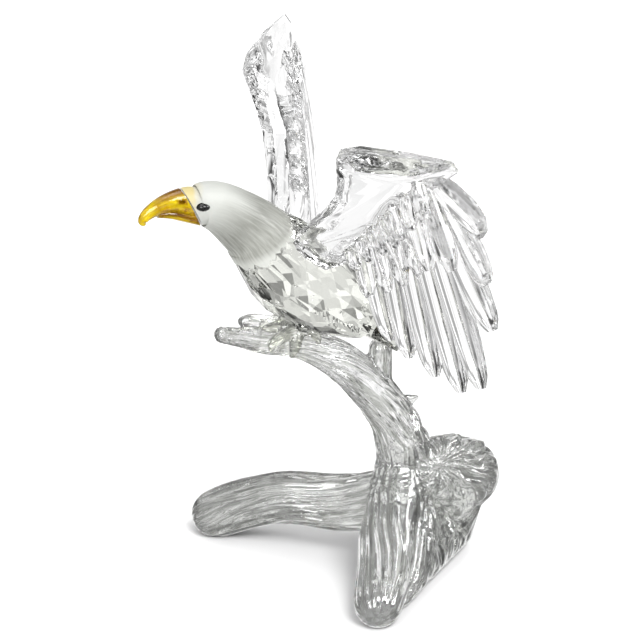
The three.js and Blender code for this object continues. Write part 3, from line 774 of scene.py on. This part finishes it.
def golden_crystal():
    """Yellow crystal of the beak: bright yellow clouded with honey, brown on its ridge, and painted shade
    in brown along the mouth and round the nostrils.
    """
    material, tree = new_material("golden_crystal")
    place = add(tree, "ShaderNodeTexCoord").outputs["Object"]
    brown = add(tree, "ShaderNodeAttribute", {"attribute_name": "brown"}).outputs["Fac"]
    clouds = add(tree, "ShaderNodeTexNoise", None, {
        "Vector": place, "Scale": 1 / (HONEY_CLOUD[0] * MM), "Detail": 3.0,
    })
    honey = add(tree, "ShaderNodeMapRange", None, {"Value": clouds, "From Min": 0.38, "From Max": 0.68})
    clouded = add(tree, "ShaderNodeMix", {"data_type": "RGBA"}, {
        "Factor": honey, "A": linear("#ffe21a"), "B": linear("#c08a08"),
    })
    tint = add(tree, "ShaderNodeMix", {"data_type": "RGBA"}, {
        "Factor": brown, "A": clouded, "B": linear("#9a6406"),
    })
    bump = add(tree, "ShaderNodeBump", None, {
        "Strength": 0.5, "Distance": HONEY_CLOUD[1] * MM, "Height": clouds,
    })
    shader = add(tree, "ShaderNodeBsdfPrincipled", None, {
        "Base Color": tint, "Roughness": 0.1, "IOR": 1.5, "Transmission Weight": 0.65,
        "Coat Weight": 0.1, "Coat Roughness": 0.05, "Normal": bump,
    })
    add(tree, "ShaderNodeOutputMaterial", None, {"Surface": shader})
    return material


def black_crystal():
    """Polished black crystal of the eyes, faintly smeared."""
    material, tree = new_material("black_crystal")
    place = add(tree, "ShaderNodeTexCoord").outputs["Object"]
    smears = add(tree, "ShaderNodeTexNoise", None, {
        "Vector": place, "Scale": 1 / (EYE_SMEAR * MM), "Detail": 2.0,
    })
    rough = add(tree, "ShaderNodeMapRange", None, {
        "Value": smears, "From Min": 0.3, "From Max": 0.7, "To Min": 0.02, "To Max": 0.08,
    })
    shader = add(tree, "ShaderNodeBsdfPrincipled", None, {
        "Base Color": linear("#080808"), "Roughness": rough, "IOR": 1.54,
    })
    add(tree, "ShaderNodeOutputMaterial", None, {"Surface": shader})
    return material


# Driftwood base


def wood_limbs():
    """Limbs that make up the driftwood. Ribs from the stump down to the ground make its smooth flank."""
    flank = [between(FLANK_FRONT, FLANK_BACK, rib / (FLANK_RIBS - 1)) for rib in range(FLANK_RIBS)]
    return [TRUNK, PERCH_LOBE, LEFT_ROOT, FRONT_ROOT, STUMP, STUMP_LEG, STUB, THORN] + [
        [FLANK_TOP, list(foot)] for foot in flank
    ]


def grain_limbs():
    """The ways in which the fibres run, with how deep they are and how much painted shade darkens the
    crystal there: all of it on the flank under the stump, most on the left root, stump and stub, a little
    on the thorn, none on the trunk.
    """
    flank = [list(between(FLANK_FRONT, FLANK_BACK, share)) for share in (0.25, 0.6, 0.95)]
    return [
        (TRUNK[:-1] + FRONT_ROOT[1:], 1.0, 0.0), (PERCH_LOBE, 0.6, 0.0), (LEFT_ROOT, 1.5, 0.65),
        (STUMP, 0.9, 0.6), (STUB, 0.8, 0.6), (THORN, 0.5, 0.2),
    ] + [([TRUNK[-1], foot], 0.12, 1.0) for foot in flank]


def on_paths(points, paths):
    """For each path: the points near it, how much it holds them, their angle round it and way along it."""
    reach = []
    nearest = []
    for path in paths:
        gaps = points[:, None, :] - path["points"][None, :, :]
        distance = np.sqrt((gaps**2).sum(2))
        depth = distance - path["radii"][None, :]
        spot = depth.argmin(1)
        rows = np.arange(len(points))
        nearest.append(spot)
        reach.append(depth[rows, spot])
    reach = np.array(reach)
    best = reach.min(0)
    found = []
    for path, spot, depth in zip(paths, nearest, reach):
        weight = np.exp(-(depth - best) / JOINT_WIDTH)
        near = np.nonzero(weight > LEAST_HOLD)[0]
        offset = points[near] - path["points"][spot[near]]
        across = (offset * path["normals"][spot[near]]).sum(1)
        aside = (offset * path["binormals"][spot[near]]).sum(1)
        along = path["along"][spot[near]] + (offset * path["tangents"][spot[near]]).sum(1)
        found.append((near, weight[near], np.arctan2(aside, across), along))
    return found


def fibre(phase):
    """Height across one fibre, which leans to one side."""
    return math.sin(phase) + FIBRE_LEAN * math.sin(2 * phase + 1)


def wood_relief(points, limbs):
    """At each point, the height of the fibres, coordinates across and along them, and how much painted
    shade it gets.
    """
    height = np.zeros(len(points))
    total = np.zeros(len(points))
    painted_shade = np.zeros(len(points))
    held = np.zeros(len(points))
    strongest = np.zeros(len(points))
    grain = np.zeros((len(points), 3))
    usual, change, least = FIBRE_SHARES
    paths = [limb_path(stations) for stations, _, _ in limbs]
    for number, (near, weight, angle, along) in enumerate(on_paths(points, paths)):
        _, depth, painted_shade_share = limbs[number]
        path = paths[number]
        girth = float(path["radii"].mean())
        fibres = round(2 * math.pi * girth / FIBRE_WIDTH)
        turned = angle + along * GRAIN_TWIST
        level = along + number * GRAIN_APART
        pattern = np.stack([np.cos(turned) * girth, np.sin(turned) * girth, level], 1)
        tip = np.clip((path["along"][-1] + path["radii"][-1] - along) / TIP_FADE, TIP_DEPTH, 1)
        rows = []
        for turn, (x, y, z) in zip(turned, pattern):
            bend = noise.noise(Vector((x / FIBRE_BEND[0], y / FIBRE_BEND[0], z / FIBRE_BEND[1])))
            run = noise.noise(Vector((x / FIBRE_RUN[0] + RUN_SHIFT, y / FIBRE_RUN[0], z / FIBRE_RUN[1])))
            rows.append(fibre(fibres * turn + FIBRE_SWAY * bend) * max(usual + change * run, least))
        hold = weight * depth
        height[near] += hold * depth * np.array(rows) * tip
        total[near] += hold
        painted_shade[near] += weight * painted_shade_share
        held[near] += weight
        stronger = weight > strongest[near]
        chosen = near[stronger]
        strongest[chosen] = weight[stronger]
        grain[chosen] = pattern[stronger]
    return height / total * FIBRE_DEPTH / 2, grain, painted_shade / held


def fan_relief(points, normals, height, grain):
    """Rays that burst from the hollow hub over the stump's broken face."""
    facing = unit(FAN_FACING)
    across = unit(np.cross([0, 0, 1], facing))
    up = np.cross(facing, across)
    offset = points - np.array(FAN_HUB)
    aside = offset @ across
    above = offset @ up
    far = np.hypot(aside, above)
    shown = fade(normals @ facing, *FAN_TURNED) * fade(FAN_REACH - far, 0, FAN_EDGE)
    shown *= fade(aside, *FAN_SIDE) * (offset @ facing > FAN_BACK)
    for i in np.nonzero(shown > 0)[0]:
        angle = math.atan2(above[i], aside[i])
        x = math.cos(angle)
        y = math.sin(angle)
        bend = noise.noise(Vector((x * RAY_BENDS[0], y * RAY_BENDS[0], far[i] / RAY_BENDS[1])))
        ray = fibre(FAN_RAYS * angle + RAY_SWAY * bend) * FAN_DEPTH / 2 * min(far[i] / RAY_RISE, 1)
        hollow = HUB_HOLLOW[0] * math.exp(-(far[i] / HUB_HOLLOW[1])**2)
        height[i] += (ray - hollow - height[i]) * shown[i]
        if shown[i] > 0.5:
            grain[i] = (x * RAY_GRAIN[0], y * RAY_GRAIN[0], far[i] + RAY_GRAIN[1])
    return height, grain


def lip_relief(points, height):
    """Lip along which the stump hangs over the smooth flank."""
    lip = through(LIP, 12)
    away = np.sqrt(((points[:, None, :] - lip[None, :, :])**2).sum(2)).min(1)
    return height + LIP_SIZE[0] * np.exp(-(away / LIP_SIZE[1])**2)


def driftwood(material):
    """Limbs that flow into one another, with fibres, the stump's fan and its lip raised in their skin."""
    parts = [limb("limb", stations) for stations in wood_limbs()]
    work = bmesh.new()
    for part in parts:
        work.from_mesh(part.data)
    mesh = bpy.data.meshes.new("driftwood")
    work.to_mesh(mesh)
    work.free()
    for part in parts:
        bpy.data.objects.remove(part)
    wood = bpy.data.objects.new("driftwood", mesh)
    flow = wood.modifiers.new("flow", "REMESH")
    flow.mode = "VOXEL"
    flow.voxel_size = WOOD_VOXEL
    ease = wood.modifiers.new("ease", "SMOOTH")
    ease.iterations = WOOD_EASING
    ease.factor = 0.5
    smooth = evaluated(wood)
    wood.modifiers.clear()
    wood.data = smooth
    places = positions(smooth)
    normals = vertex_normals(smooth)
    height, grain, painted_shade = wood_relief(places, grain_limbs())
    height, grain = fan_relief(places, normals, height, grain)
    places = places + normals * lip_relief(places, height)[:, None]
    places[:, 2] = np.maximum(places[:, 2], 0)
    move_points(smooth, places)
    store(smooth, "grain", "FLOAT_VECTOR", grain)
    # Painted shade for the cast crystal, darkest on the flank under the stump.
    store(smooth, "painted_shade", "FLOAT", painted_shade)
    shade(smooth, None)
    return finish_piece(wood, "driftwood_base", "branch", [material])


# Bird's body


def section_rings(sections, sides, grow=0, turns=None):
    """Rings round a path in the plane x = 0, from [y, z, half width, half height] sections."""
    sections = np.asarray(sections, float)
    rings = []
    for i, (y, z, half_width, half_height) in enumerate(sections):
        before = sections[max(i - 1, 0)]
        after = sections[min(i + 1, len(sections) - 1)]
        along = unit([after[0] - before[0], after[1] - before[1]])
        turn = turns(i) if turns else 0
        angles = (np.arange(sides) + turn) / sides * 2 * math.pi
        up = np.cos(angles) * (half_height + grow)
        rings.append(np.stack([
            np.sin(angles) * (half_width + grow), y - along[1] * up, z + along[0] * up,
        ], 1))
    return rings


def torso(name, grow=0):
    """Faceted torso, whose corners stand in staggered rings and stray as in cutting by hand."""
    noise.seed_set(GEM_SEED)
    corners = section_rings([GEM_COLLAR, TORSO[0]], GEM_SIDES * 2, grow)[:1]
    for ring in section_rings(through(TORSO, GEM_STEPS), GEM_SIDES, grow, lambda i: (i % 2) / 2):
        strays = [noise.noise_vector(Vector(corner * GEM_CHANGE)) for corner in ring]
        corners.append(ring + GEM_UNEVEN * np.array(strays))
    return hull(name, np.vstack(corners))


def head_and_neck(name, grow=0):
    """Smooth head and neck, whose hem runs round the neck in uneven teeth."""
    rings = section_rings(through(SPINE[:-1] + NECK_HEM, NECK_STEPS), NECK_SIDES, grow)
    turns = np.arange(NECK_SIDES) / NECK_SIDES
    angles = turns * 2 * math.pi
    unevenness = []
    for angle in angles:
        spot = Vector((math.sin(angle) * HEM_UNEVEN, math.cos(angle) * HEM_UNEVEN, HEM_PATTERN))
        unevenness.append(noise.noise(spot))
    teeth = np.abs((turns * HEM_TEETH + unevenness) % 1 - 0.5) * 4 - 1
    hem = HEM_TOOTH * teeth - HEM_RISE * (1 - np.cos(angles)) / 2
    down = unit(np.subtract(NECK_HEM[1][:2], NECK_HEM[0][:2]))
    for step, ring in enumerate(rings[-NECK_STEPS:], 1):
        shift = hem * step / NECK_STEPS
        middle = ring.mean(0)
        ring[:] = middle + (ring - middle) * (1 + shift * NECK_WIDENS / NECK_HEM[1][2])[:, None]
        ring[:, 1:] += down * shift[:, None]
    return loft(name, rings)


def tail(name):
    """Flat wedge that widens and thins towards its tip, with its corners drawn up."""
    along = unit(np.subtract(TAIL_TIP, TAIL_ROOT))
    points = []
    for side in (-1, -0.5, 0, 0.5, 1):
        for end, place in enumerate((TAIL_ROOT, TAIL_TIP)):
            across = side * TAIL_HALF_WIDTHS[end]
            half = TAIL_THICKNESSES[end] / 2 * (1 - TAIL_SIDE_THINNER[end] * abs(side))
            back = TAIL_CORNER_RISE * side**2 * end
            for up in (half, -half):
                y = place[0] - along[1] * up - along[0] * back
                z = place[1] + along[0] * up - along[1] * back
                points.append([across, y, z])
    return hull(name, points)


def before_joint(name, offset):
    """Everything in front of the beak's joint, moved forward by an offset."""
    lean = math.radians(BEAK_JOINT_LEAN)
    outward = Vector((0, -math.cos(lean), -math.sin(lean)))
    return half_space(name, Vector((0, *BEAK_JOINT)) + outward * offset, outward)


def eye_shape(name, grow=0):
    halves = np.array(EYE_SIZE) / 2 + grow
    return ball(name, EYE_PLACE, halves, EYE_TURN, EYE_POINTED)


def cut_eye_sockets(obj):
    socket = eye_shape("socket", EYE_GAP)
    combine(obj, mirror_copy(socket, "right_socket"), "DIFFERENCE")
    combine(obj, socket, "DIFFERENCE")


def bird(cut, frosted):
    """Frosted head and neck on a cut torso, with the tail, thighs and toes."""
    whole = torso("torso")
    combine(whole, tail("tail"))
    for side in (1, -1):
        for stations in [THIGH] + TOES:
            placed = [[side * x, y, z, r] for x, y, z, r in stations]
            combine(whole, limb("leg", placed, sides=16, steps=5, ends=3))
    neck = head_and_neck("neck")
    for obj in (whole, neck):
        obj.data.materials.append(cut)
        obj.data.materials.append(frosted)
    neck.data.polygons.foreach_set("material_index", [1] * len(neck.data.polygons))
    combine(whole, neck)
    combine(whole, before_joint("beak_room", 0), "DIFFERENCE")
    cut_eye_sockets(whole)
    for stations in (TRUNK, PERCH_LOBE):
        combine(whole, limb("perch_room", stations, grow=FOOT_GAP), "DIFFERENCE")
    mesh = whole.data
    places = positions(mesh)
    spine = np.array([[0, y, z, (w + h) / 2] for y, z, w, h in SPINE + TORSO])
    near, _, angle, along = on_paths(places, [limb_path(spine)])[0]
    level = along + HEM_RISE * (1 + np.sin(angle)) / 2
    grain = np.zeros_like(places)
    grain[near] = np.stack([np.cos(angle) * PLUMAGE_RADIUS, np.sin(angle) * PLUMAGE_RADIUS, level], 1)
    store(mesh, "grain", "FLOAT_VECTOR", grain)
    shade(mesh, BODY_CREASE)
    index = [face.material_index for face in mesh.polygons]
    for face in mesh.polygons:
        face.use_smooth = face.material_index == 1 or face.area < FACET_AREA
    piece = finish_piece(whole, "eagle_body", "body", [cut, frosted])
    piece.data.polygons.foreach_set("material_index", index)


def brown_line(distance, half_width):
    """1 along a line, and 0 from where it has faded out on either side."""
    return np.clip(BROWN_ENDS - np.abs(distance) / half_width, 0, 1)


def brown_of_beak(points):
    """How brown the beak is at each point: on its ridge, and as painted shade along the mouth and round
    the nostrils.
    """
    sections = through(UPPER_BEAK, BEAK_STEPS)
    along = np.gradient(sections[:, :2], axis=0)
    along /= np.linalg.norm(along, axis=1)[:, None]
    offsets = points[:, None, 1:] - sections[None, :, :2]
    nearest = np.linalg.norm(offsets, axis=2).argmin(1)
    offset = offsets[np.arange(len(points)), nearest]
    rise = (offset[:, 0] * along[nearest, 1] - offset[:, 1] * along[nearest, 0]) / sections[nearest, 3]
    ridge = fade(rise, *RIDGE_BROWN)
    # Painted shade along the crease of the mouth.
    mouth = brown_line(rise - MOUTH_BROWN[0], MOUTH_BROWN[1])
    tip = UPPER_BEAK[-1][0]
    shown = fade(points[:, 1], tip, tip + TIP_PALE)
    # Painted shade round the hollow of each nostril.
    on_left = np.column_stack([np.abs(points[:, 0]), points[:, 1:]])
    from_nostril = np.linalg.norm((on_left - NOSTRIL) / NOSTRIL_SIZE, axis=1)
    ring = brown_line(from_nostril - NOSTRIL_BROWN[0], NOSTRIL_BROWN[1])
    return np.maximum(np.maximum(ridge, mouth) * shown, ring)


def golden_beak(material):
    """Upper and lower beak in one, cut off at the joint, with nostrils and room for the eyes."""
    beak = loft("upper_beak", section_rings(through(UPPER_BEAK, BEAK_STEPS), BEAK_SIDES))
    combine(beak, loft("lower_beak", section_rings(through(LOWER_BEAK, BEAK_STEPS), BEAK_SIDES)))
    combine(beak, before_joint("joint", GLUE_GAP), "INTERSECT")
    cut_eye_sockets(beak)
    nostril = ball("nostril", NOSTRIL, NOSTRIL_SIZE, NOSTRIL_TURN, segments=16, rows=10)
    combine(beak, mirror_copy(nostril, "right_nostril"), "DIFFERENCE")
    combine(beak, nostril, "DIFFERENCE")
    store(beak.data, "brown", "FLOAT", brown_of_beak(positions(beak.data)))
    shade(beak.data, BEAK_CREASE)
    finish_piece(beak, "golden_beak", "beak", [material])


def eye_stones(material):
    left = eye_shape("left_eye_stone")
    right = mirror_copy(left, "right_eye_stone")
    for eye, side in ((left, "left"), (right, "right")):
        shade(eye.data, EYE_CREASE)
        finish_piece(eye, f"{side}_eye_stone", f"{side}_eye", [material])


# Wings

HAND_AXIS = unit(HAND)
FRONT_AXIS = unit(np.cross(HAND_AXIS, ARM))
UP_AXIS = np.cross(FRONT_AXIS, HAND_AXIS)
CHEST_SIDE = np.array([TORSO[0][2], TORSO[0][0], TORSO[0][1]])
WRIST = CHEST_SIDE + np.array(CHEST_TO_SHOULDER) + np.array(ARM)


def on_plate(along, up, out):
    """Place in the frame of the wing's hand, from the wrist."""
    return WRIST + HAND_AXIS * along + UP_AXIS * up + FRONT_AXIS * out


def arm_plate(name):
    """Thick cut plate with a flat window, chipped into small facets round its borders."""
    length = np.linalg.norm(HAND)
    layers = [
        (PLATE_BACK, -PLATE_THICKNESS),
        (PLATE_EDGE, PLATE_BACK_BEVEL - PLATE_THICKNESS),
        (PLATE_EDGE, -PLATE_FRONT_BEVEL),
        (PLATE_WINDOW, 0),
    ]
    rings = []
    for (outline, out), (next_outline, next_out) in zip(layers, layers[1:]):
        for row in range(CHIP_ROWS):
            share = row / CHIP_ROWS
            rings.append((between(outline, next_outline, share), out + (next_out - out) * share))
    rings.append((np.array(PLATE_WINDOW, float), 0))
    points = []
    for number, (outline, out) in enumerate(rings):
        on_bevel = number % CHIP_ROWS and not CHIP_ROWS < number < 2 * CHIP_ROWS
        closed = np.vstack([outline, outline[:1]])
        spots = []
        for start, end in zip(closed, closed[1:]):
            for step in range(CHIP_STEPS):
                spots.append(start + (end - start) * step / CHIP_STEPS)
        for i, (along, up) in enumerate(spots):
            thin = 1 - (1 - PLATE_TIP_SHARE) * max(along, 0) / length
            place = on_plate(along, up, out * thin)
            if on_bevel and i % CHIP_STEPS:
                chip = Vector((along * CHIP_CHANGE[0], up * CHIP_CHANGE[0], number * CHIP_CHANGE[1]))
                other_chip = chip + Vector((CHIP_SHIFT, 0, 0))
                place = place + FRONT_AXIS * CHIP_DEPTHS[0] * noise.noise(chip)
                place = place + UP_AXIS * CHIP_DEPTHS[1] * noise.noise(other_chip)
            points.append(place)
    sides = len(PLATE_EDGE) * CHIP_STEPS
    faces = []
    for ring in range(len(rings) - 1):
        for side in range(sides):
            a = ring * sides + side
            b = ring * sides + (side + 1) % sides
            faces.append((a, b, b + sides))
            faces.append((a, b + sides, a + sides))
    faces.append(tuple(range(sides)))
    faces.append(tuple((len(rings) - 1) * sides + side for side in range(sides)))
    return face_outwards(new_mesh(name, points, faces))


def unit_feather(name, outline):
    """A feather one long, wide and thick, along z from its root, that swells and ends in a round tip."""
    stations = np.array(outline, float)
    shares = [1 - (1 - i / (FEATHER_RINGS - 1)) ** RINGS_CROWD for i in range(FEATHER_RINGS)]
    section = np.vstack([through(FEATHER_FRONT, SECTION_STEPS), through(FEATHER_BACK, SECTION_STEPS)])
    rings = []
    for share in shares:
        wide = np.interp(share, stations[:, 0], stations[:, 1]) / 2
        thick = np.interp(share, stations[:, 0], stations[:, 2]) / 2
        level = np.full(len(section), share)
        rings.append(np.stack([section[:, 0] * wide, section[:, 1] * thick, level], 1))
    return loft(name, rings)


def feather_row_tree():
    """Geometry Nodes that stand a feather on each point of a row, as wide as its place in the row asks."""
    tree = bpy.data.node_groups.new("feather_row", "GeometryNodeTree")
    for name, kind in (
        ("Row", "NodeSocketGeometry"), ("Feather", "NodeSocketObject"),
        ("Outer width", "NodeSocketFloat"), ("Inner width", "NodeSocketFloat"),
        ("Thickness", "NodeSocketFloat"), ("Feathers in the row", "NodeSocketInt"),
        ("Crystal", "NodeSocketMaterial"),
    ):
        tree.interface.new_socket(name, in_out="INPUT", socket_type=kind)
    tree.interface.new_socket("Feathers", in_out="OUTPUT", socket_type="NodeSocketGeometry")
    sizes = add(tree, "NodeGroupInput").outputs
    index = add(tree, "GeometryNodeInputIndex")
    last = add(tree, "ShaderNodeMath", {"operation": "SUBTRACT"}, {0: sizes["Feathers in the row"], 1: 1})
    share = add(tree, "ShaderNodeMath", {"operation": "DIVIDE"}, {0: index, 1: last})
    width = add(tree, "ShaderNodeMapRange", None, {
        "Value": share, "To Min": sizes["Outer width"], "To Max": sizes["Inner width"],
    })
    length = add(tree, "GeometryNodeInputNamedAttribute", {"data_type": "FLOAT"}, {"Name": "length"})
    turn = add(tree, "GeometryNodeInputNamedAttribute", {"data_type": "QUATERNION"}, {"Name": "turn"})
    size = add(tree, "ShaderNodeCombineXYZ", None, {"X": width, "Y": sizes["Thickness"], "Z": length})
    shape = add(tree, "GeometryNodeObjectInfo", None, {"Object": sizes["Feather"], "As Instance": True})
    stood = add(tree, "GeometryNodeInstanceOnPoints", None, {
        "Points": sizes["Row"], "Instance": shape.outputs["Geometry"], "Rotation": turn, "Scale": size,
    })
    real = add(tree, "GeometryNodeRealizeInstances", None, {"Geometry": stood})
    dressed = add(tree, "GeometryNodeSetMaterial", None, {"Geometry": real, "Material": sizes["Crystal"]})
    add(tree, "NodeGroupOutput", None, {"Feathers": dressed})
    return tree


def set_input(modifier, name, value):
    for item in modifier.node_group.interface.items_tree:
        if item.name == name:
            modifier[item.identifier] = value


def feather_row(tree, row, material):
    """The closed shapes of one row's feathers, from the outermost to the innermost."""
    drop = unit(FEATHER_DROP)
    hanging = unit(np.cross(drop, HAND_AXIS))
    sheet = hanging if hanging @ FRONT_AXIS > 0 else -hanging
    roots = []
    lengths = []
    turns = []
    for i, (along, fall) in enumerate(row["tips"]):
        share = i / (len(row["tips"]) - 1)
        root = on_plate(*between(row["outer"], row["inner"], share ** row["crowding"]), -row["depths"][0])
        tip = on_plate(along, 0, -row["depths"][1]) + drop * fall
        tip = tip + np.array(SWEEP) * SWEEP_LENGTH * share**SWEEP_GROWS
        axis = unit(tip - root)
        tilt = np.array(Matrix.Rotation(math.radians(FEATHER_TILT), 3, Vector(axis)))
        across = unit(np.cross(tilt @ sheet, axis))
        out = np.cross(axis, across)
        roots.append(root)
        lengths.append(np.linalg.norm(tip - root))
        turns.append(Matrix(np.stack([across, out, axis], 1).tolist()).to_quaternion())
    line = new_mesh("row", roots, [])
    store(line.data, "length", "FLOAT", lengths)
    store(line.data, "turn", "QUATERNION", turns)
    shape = unit_feather("feather_shape", row["outline"])
    bpy.context.scene.collection.objects.link(shape)
    step = line.modifiers.new("row", "NODES")
    step.node_group = tree
    for name, value in (
        ("Feather", shape), ("Outer width", row["widths"][0]), ("Inner width", row["widths"][1]),
        ("Thickness", row["thickness"]), ("Feathers in the row", len(roots)), ("Crystal", material),
    ):
        set_input(step, name, value)
    mesh = evaluated(line)
    shape_points = len(shape.data.vertices)
    shape_faces = [tuple(p.vertices) for p in shape.data.polygons]
    places = positions(mesh)
    bpy.data.objects.remove(shape)
    bpy.data.objects.remove(line)
    return [
        new_mesh("feather", places[i * shape_points:(i + 1) * shape_points], shape_faces)
        for i in range(len(roots))
    ]


def wings(material):
    """Arm plate and rows of feathers in one piece, with room for the bird, and its mirror image."""
    tree = feather_row_tree()
    left = arm_plate("plate")
    for row in FEATHER_ROWS:
        for feather in feather_row(tree, row, material):
            combine(left, face_outwards(feather))
    combine(left, torso("torso_room", GLUE_GAP), "DIFFERENCE")
    combine(left, head_and_neck("neck_room", GLUE_GAP), "DIFFERENCE")
    shade(left.data, WING_CREASE)
    right = mirror_copy(left, "right_wing_crystal")
    finish_piece(left, "left_wing_crystal", "left_wing", [material])
    finish_piece(right, "right_wing_crystal", "right_wing", [material])


# Stage, light and camera


def camera_back():
    """Direction from the object towards the camera."""
    azimuth = math.radians(CAMERA_AZIMUTH)
    elevation = math.radians(CAMERA_ELEVATION)
    return Vector((
        math.sin(azimuth) * math.cos(elevation),
        -math.cos(azimuth) * math.cos(elevation),
        math.sin(elevation),
    ))


def camera():
    back = camera_back()
    data = bpy.data.cameras.new("camera")
    data.sensor_width = SENSOR_WIDTH
    data.lens = PIXELS_PER_MM * CAMERA_DISTANCE * SENSOR_WIDTH / FRAME_PIXELS
    data.clip_end = CLIP_END
    seen = bpy.data.objects.new("camera", data)
    seen.location = (Vector(CAMERA_TARGET) + ORIGIN + back * CAMERA_DISTANCE) * MM
    seen.rotation_mode = "QUATERNION"
    seen.rotation_quaternion = (-back).to_track_quat("-Z", "Y")
    bpy.context.scene.collection.objects.link(seen)
    bpy.context.scene.camera = seen


def floor():
    """White paper to the eye. The crystal sees the room through it, so that it stays clear."""
    low = -FLOOR_DROP * MM
    corners = [(x * FLOOR_HALF, y * FLOOR_HALF, low) for x, y in ((-1, -1), (1, -1), (1, 1), (-1, 1))]
    ground = new_mesh("floor", corners, [(0, 1, 2, 3)])
    material, tree = new_material("white_paper")
    paper = add(tree, "ShaderNodeBsdfDiffuse", None, {"Color": linear("#f7f7f7")})
    clear = add(tree, "ShaderNodeBsdfTransparent")
    ray = add(tree, "ShaderNodeLightPath").outputs
    bent = add(tree, "ShaderNodeMath", {"operation": "MAXIMUM"}, {
        0: ray["Is Transmission Ray"], 1: ray["Is Glossy Ray"],
    })
    surface = add(tree, "ShaderNodeMixShader", None, {0: bent, 1: paper, 2: clear})
    add(tree, "ShaderNodeOutputMaterial", None, {"Surface": surface})
    ground.data.materials.append(material)
    bpy.context.scene.collection.objects.link(ground)


def studio():
    """Room that the crystal sees: bright sheets with darker folds behind the figurine, white straight
    behind it and overhead, and dark cards on grey elsewhere. The camera sees plain white."""
    world = bpy.data.worlds.new("studio")
    world.use_nodes = True
    bpy.context.scene.world = world
    tree = world.node_tree
    tree.nodes.clear()
    way = add(tree, "ShaderNodeTexCoord").outputs["Generated"]
    height = add(tree, "ShaderNodeSeparateXYZ", None, {"Vector": way}).outputs["Z"]
    ahead = add(tree, "ShaderNodeVectorMath", {"operation": "DOT_PRODUCT"}, {0: way, 1: -camera_back()})
    backdrop, white, ceiling = [
        add(tree, "ShaderNodeMapRange", None, {"Value": source, "From Min": start, "From Max": end})
        for source, (start, end) in ((ahead, BACKDROP_EDGE), (ahead, WHITE_BEHIND), (height, CEILING_EDGE))
    ]
    folds = add(tree, "ShaderNodeTexNoise", None, {"Vector": way, "Scale": SHEET_FOLDS, "Detail": 1.0})
    sheets = add(tree, "ShaderNodeMapRange", None, {"Value": folds, **SHEETS})
    hung = add(tree, "ShaderNodeMath", {"operation": "MULTIPLY"}, {0: backdrop, 1: sheets})
    spots = add(tree, "ShaderNodeTexNoise", None, {"Vector": way, "Scale": CARD_COUNT, "Detail": 1.0})
    cards = add(tree, "ShaderNodeMapRange", None, {"Value": spots, **CARDS})
    ray = add(tree, "ShaderNodeLightPath").outputs
    on_paper = add(tree, "ShaderNodeMapRange", None, {
        "Value": ray["Is Diffuse Ray"], "To Max": ROOM_ON_PAPER,
    })
    bright = hung
    for other in (white, ceiling, cards, ray["Is Camera Ray"], on_paper):
        bright = add(tree, "ShaderNodeMath", {"operation": "MAXIMUM"}, {0: bright, 1: other})
    light = add(tree, "ShaderNodeBackground", None, {"Color": (1, 1, 1, 1), "Strength": bright})
    add(tree, "ShaderNodeOutputWorld", None, {"Surface": light})


def lamps(lights, on_everything):
    """Lamps far away. Those that aren't on everything only show as glints on what is polished."""
    for direction, spread, power in lights:
        sun = bpy.data.lights.new("light", "SUN")
        sun.energy = power
        sun.angle = math.radians(spread)
        lamp = bpy.data.objects.new("light", sun)
        lamp.rotation_mode = "QUATERNION"
        lamp.rotation_quaternion = Vector(direction).to_track_quat("Z", "Y")
        lamp.visible_diffuse = on_everything
        lamp.visible_transmission = on_everything
        bpy.context.scene.collection.objects.link(lamp)


def settings():
    scene = bpy.context.scene
    scene.view_settings.view_transform = "Standard"
    scene.view_settings.look = "None"
    scene.cycles.max_bounces = 32
    scene.cycles.transmission_bounces = 28
    scene.cycles.glossy_bounces = 12
    scene.cycles.transparent_max_bounces = 16
    scene.cycles.caustics_refractive = False
    scene.cycles.caustics_reflective = False


camera()
settings()
floor()
studio()
lamps(LIGHTS, True)
lamps(GLINTS, False)

driftwood(cast_crystal())
bird(polished_crystal("thick_lead_crystal", "#e4e5df"), frosted_crystal())
golden_beak(golden_crystal())
eye_stones(black_crystal())
wings(polished_crystal("thin_lead_crystal", "#ffffff"))
